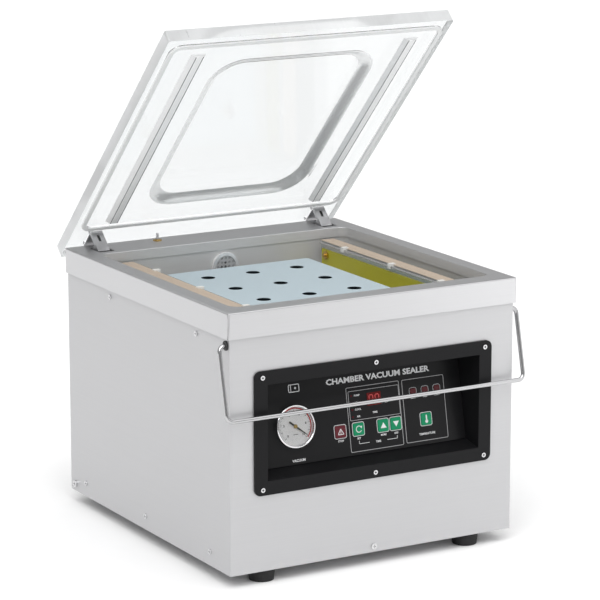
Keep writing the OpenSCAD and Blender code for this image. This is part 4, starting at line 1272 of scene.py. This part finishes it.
@dataclass
class ClearLid:
    """The thick clear lid: a pocket with drafted, rounded walls, and dark lines and blocks painted
    as shade on its strips and in its strap slots.

    Sizes are in millimetres. A slot shade is a black block of painted shade in a strap's slot; its
    place is its distance from the straps' outer side, lower end and upper face.
    """

    shop: Workshop
    pocket_depth: float = 9.0
    pocket_reach: float = 150.0
    draft: float = 13.0
    pocket_round: float = 5.5
    rim_band: float = 6.0
    # Width of the dark line painted as shade along each pressure strip's edge.
    edge_shade: float = 0.9
    # The black blocks in the strap slots are painted shade.
    slot_shade: Triple = (9.0, 1.4, 15.0)
    slot_shade_place: Triple = (9.0, 2.9, 13.5)

    def build(self) -> None:
        """Shapes the lid in its closed place and turns it open again."""
        opened = self._opening()
        shape = self.shop.copy_of("lid")
        placed(shape, opened.inverted())
        mouth_z = corners_of(shape)[0].z
        roof_z = mouth_z + self.pocket_depth * MM
        near = [v for v in shape.verts if abs(v.co.x) < self.pocket_reach * MM]
        roof = {v for v in near if abs(v.co.z - roof_z) < SAME_LEVEL}
        self._draw_in(shape, list(roof))
        below = (e.other_vert(v) for v in roof for e in v.link_edges)
        mouth = {v for v in below if abs(v.co.z - mouth_z) < SAME_LEVEL}
        pocket = [e for e in shape.edges if set(e.verts) <= roof or set(e.verts) <= mouth]
        round_edges(shape, pocket, self.pocket_round, 5)
        self._mark_faces(shape)
        made = self.shop.piece(
            "lid_polished", placed(shape, opened), "lid_acrylic", "lid", ["lid"],
            ["lid_edge", "lid_pocket"],
        )
        # The lid is clear, so it is kept from shading the chamber.
        made.visible_shadow = False
        self._edge_shades(opened)
        self._strap_pads(opened)

    def _mark_faces(self, shape: bmesh.types.BMesh) -> None:
        """Gives the sawn rim and the pocket's walls their paler finishes.

        Args:
            shape: The lid in its closed place.
        """
        low, high = corners_of(shape)
        rim, reach = self.rim_band * MM, self.pocket_reach * MM
        for face in shape.faces:
            spot, lean = face.calc_center_median(), abs(face.normal.z)
            on_rim = any(spot[i] < low[i] + rim or spot[i] > high[i] - rim for i in (0, 1))
            if on_rim and lean < 0.5:
                face.material_index = 1
            elif abs(spot.x) < reach and 0.02 < lean < 0.98:
                face.material_index = 2

    def _edge_shades(self, opened: Matrix) -> None:
        """Draws a dark line of painted shade where each pressure strip's sloping side meets its
        face.

        Args:
            opened: The turn from the closed lid to the open one.
        """
        strips = placed(self.shop.copy_of("pressure_strips"), opened.inverted())
        low = corners_of(strips)[0].z
        faces = [v.co for v in strips.verts if abs(v.co.z - low) < SAME_LEVEL]
        columns = sorted({round(v.x / MM, 1) for v in faces})
        near, far = min(v.y for v in faces), max(v.y for v in faces)
        strips.free()
        lines = joined(moved(bar_of(self.edge_shade, (far - near) / MM), x) for x in columns)
        turn = Matrix.Rotation(math.pi, 4, "X")
        place = opened @ Matrix.Translation((0.0, (near + far) / 2, low)) @ turn
        # Black lines painted as shade along the strips' edges.
        self.shop.piece("strip_edge_shade", placed(lines, place), "print_black", "lid")

    def _strap_pads(self, opened: Matrix) -> None:
        """Puts a black block behind the slot of each hinge strap, as painted shade in the slot.

        Args:
            opened: The turn from the closed lid to the open one.
        """
        straps = placed(self.shop.copy_of("hinge_straps"), opened.inverted())
        low, high = corners_of(straps)
        straps.free()
        x, y, z = (length * MM for length in self.slot_shade_place)
        slot_shades = []
        for side in (-1, 1):
            slot_shade = bmesh.new()
            bmesh.ops.create_cube(slot_shade, size=MM)
            bmesh.ops.scale(slot_shade, verts=slot_shade.verts, vec=self.slot_shade)
            spot = (side * (high.x - x), low.y + y, high.z - z)
            slot_shades.append(placed(slot_shade, Matrix.Translation(spot)))
        # Black blocks painted as shade where the strap slots look dark.
        self.shop.piece("strap_slot_shade", placed(joined(slot_shades), opened), "bush_plastic", "lid")

    def _draw_in(self, shape: bmesh.types.BMesh, roof: list[bmesh.types.BMVert]) -> None:
        """Draws the pocket's roof in, so that its walls slope.

        Args:
            shape: The lid in its closed place.
            roof: The vertices of the pocket's roof.
        """
        xs, ys = [v.co.x for v in roof], [v.co.y for v in roof]
        centre = Vector(((min(xs) + max(xs)) / 2, (min(ys) + max(ys)) / 2, 0.0))
        inset = 2 * self.draft * MM
        factor = (1 - inset / (max(xs) - min(xs)), 1 - inset / (max(ys) - min(ys)), 1.0)
        bmesh.ops.scale(shape, verts=roof, vec=factor, space=Matrix.Translation(-centre))

    @staticmethod
    def _opening() -> Matrix:
        """Finds how the lid opens.

        Returns:
            The turn from the closed lid to the model's open one.
        """
        hinge = joint_named("lid_hinge")
        pivot = Matrix.Translation(Vector(hinge["pos_m"]))
        turn = Matrix.Rotation(-math.radians(hinge["range_deg"][1]), 4, Vector(hinge["axis"]))
        return pivot @ turn @ pivot.inverted()


@dataclass
class SocketShades:
    """Dark hexagons painted as shade in the sockets of the bezel's six screws.

    Sizes are in millimetres, and face is where the heads' front lies along Y.
    """

    shop: Workshop
    radius: float = 1.35
    face: float = -244.62
    columns: tuple[float, ...] = (-173.0, 0.0, 173.0)
    rows: tuple[float, ...] = (130.5, 282.5)

    def build(self) -> None:
        """Lays one small dark hexagon on each head, as painted shade in its socket."""
        upright = Matrix.Rotation(math.radians(90.0), 4, "X")
        marks = []
        for x in self.columns:
            for z in self.rows:
                spot = Matrix.Translation((x * MM, self.face * MM, z * MM))
                marks.append(placed(disc_of(self.radius, 6), spot @ upright))
        # Black hexagons standing for the shade inside the screw sockets.
        self.shop.piece("screw_socket_shade", joined(marks), "print_black", "cabinet")


@dataclass
class RockerMarks:
    """The line and the ring moulded on the mains rocker."""

    shop: Workshop

    def build(self) -> None:
        """Lays both marks on the rocker's face, one on each half."""
        low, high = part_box("power_rocker")
        across = Vector((-1.0, 0.0, 0.0))
        shape = frame["nodes"]["power_rocker"].data
        rear = sorted((p for p in shape.polygons if p.normal.y > 0.8), key=lambda p: p.center.z)
        for name, face, mark in (
            ("rocker_ring", rear[0], frame_of(4.4, 4.4, 0.6, 2.1)),
            ("rocker_line", rear[-1], bar_of(0.7, 4.4)),
        ):
            middle = Vector(((low.x + high.x) / 2, face.center.y, face.center.z))
            place = plane_matrix(across, face.normal.cross(across), face.normal, middle)
            self.shop.piece(name, placed(mark, place), "print_white", "power_rocker")


# ------------------------------------------------------------------ studio


@dataclass
class Studio:
    """A plain pale floor, soft light all round and the camera.

    Places and sizes are in metres, the lens in millimetres. The sky's levels are its strength
    at heights from the horizon, at 0, to straight overhead, at 1.
    """

    shop: Workshop
    camera_at: Triple = (-2.0186, -3.5429, 1.2390)
    looks_at: Triple = (0.0236, 0.0, 0.3170)
    lens: float = 179.7
    floor_size: float = 60.0
    side_power: float = 1.0
    side_size: float = 0.7
    side_at: Triple = (0.95, -0.95, 0.40)
    sky_gain: float = 1.78
    sky_levels: tuple[Pair, ...] = (
        (0.0, 0.20), (0.35, 0.30), (0.7, 0.50), (0.88, 0.62), (1.0, 0.90),
    )

    def build(self) -> None:
        """Sets up the floor, the light and the camera."""
        self._floor()
        self._sky()
        self._lamps()
        self._camera()
        bpy.context.scene.view_settings.view_transform = "Standard"

    def _floor(self) -> None:
        """Lays the pale floor."""
        shape = bmesh.new()
        bmesh.ops.create_grid(shape, x_segments=1, y_segments=1, size=self.floor_size / 2.0)
        mesh = bpy.data.meshes.new("studio_floor")
        shape.to_mesh(mesh)
        shape.free()
        mesh.materials.append(self.shop.palette.get("floor_white"))
        floor = bpy.data.objects.new("studio_floor", mesh)
        bpy.context.scene.collection.objects.link(floor)

    def _sky(self) -> None:
        """Soft surroundings, darker at the level of the horizon than overhead."""
        world = bpy.data.worlds.new("studio_sky")
        world.use_nodes = True
        bpy.context.scene.world = world
        nodes, links = world.node_tree.nodes, world.node_tree.links
        nodes.clear()
        out = nodes.new("ShaderNodeOutputWorld")
        light = nodes.new("ShaderNodeBackground")
        place = nodes.new("ShaderNodeTexCoord")
        parts = nodes.new("ShaderNodeSeparateXYZ")
        ramp = nodes.new("ShaderNodeFloatCurve")
        first, *between, last = self.sky_levels
        curve = ramp.mapping.curves[0]
        curve.points[0].location, curve.points[1].location = first, last
        for height, level in between:
            curve.points.new(height, level)
        ramp.mapping.update()
        gain = nodes.new("ShaderNodeMath")
        gain.operation = "MULTIPLY"
        gain.inputs[1].default_value = self.sky_gain
        links.new(place.outputs["Generated"], parts.inputs["Vector"])
        links.new(parts.outputs["Z"], ramp.inputs["Value"])
        links.new(ramp.outputs["Value"], gain.inputs[0])
        links.new(gain.outputs["Value"], light.inputs["Strength"])
        links.new(light.outputs["Background"], out.inputs["Surface"])

    def _lamps(self) -> None:
        """Two broad, distant lamps for the floor, and a small panel by the right side."""
        for name, power, spread, aim in (
            ("key_lamp", 1.6, 50.0, (0.45, 0.55, -1.0)),
            ("fill_lamp", 0.5, 70.0, (-0.6, 0.5, -0.8)),
        ):
            sun = bpy.data.lights.new(name, "SUN")
            sun.energy = power
            sun.angle = math.radians(spread)
            self._stand(sun, (0.0, 0.0, 0.0), Vector(aim))
        panel = bpy.data.lights.new("side_panel_lamp", "AREA")
        panel.energy = self.side_power
        panel.size = self.side_size
        lamp = self._stand(panel, self.side_at, Vector(self.looks_at) - Vector(self.side_at))
        lamp.visible_camera = False

    def _camera(self) -> None:
        """Stands the camera in front, to the left and a little above."""
        data = bpy.data.cameras.new("studio_camera")
        data.lens = self.lens
        data.sensor_width = 36.0
        data.clip_end = 100.0
        aim = Vector(self.looks_at) - Vector(self.camera_at)
        bpy.context.scene.camera = self._stand(data, self.camera_at, aim)

    @staticmethod
    def _stand(data: bpy.types.ID, at: Triple, aim: Vector) -> bpy.types.Object:
        """Stands a lamp or a camera in the scene.

        Args:
            data: The lamp or the camera, whose name the object takes.
            at: Its place in metres.
            aim: The direction that it faces.

        Returns:
            The new object.
        """
        made = bpy.data.objects.new(data.name, data)
        made.location = at
        made.rotation_euler = aim.to_track_quat("-Z", "Y").to_euler()
        bpy.context.scene.collection.objects.link(made)
        return made


def dress_nodes(palette: Palette) -> None:
    """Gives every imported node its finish, slot by slot.

    Args:
        palette: The finishes.
    """
    for name, node in frame["nodes"].items():
        for index, material in enumerate(list(node.data.materials)):
            slot = material.name.split(".")[0]
            if slot in palette.finishes:
                node.material_slots[index].material = palette.get(slot)
            else:
                LOG.warning("%s has no finish for slot %s", name, slot)


def main() -> None:
    """Builds the sub-assemblies in order, then the studio round them."""
    logging.basicConfig(level=logging.INFO, format="%(name)s: %(message)s")
    palette = Palette()
    shop = Workshop(palette)
    panel = PanelPlace()
    parts = (
        SoftEdges(shop),
        Deck(shop),
        Plate(shop),
        SealBar(shop, "left"),
        SealBar(shop, "right"),
        PanelPrint(shop, panel),
        Display(shop, panel),
        Gauge(shop, panel),
        ClearLid(shop),
        SocketShades(shop),
        RockerMarks(shop),
        Studio(shop),
    )
    for part in parts:
        LOG.info("building %s", type(part).__name__)
        part.build()
    dress_nodes(palette)


if __name__ == "__main__":
    main()
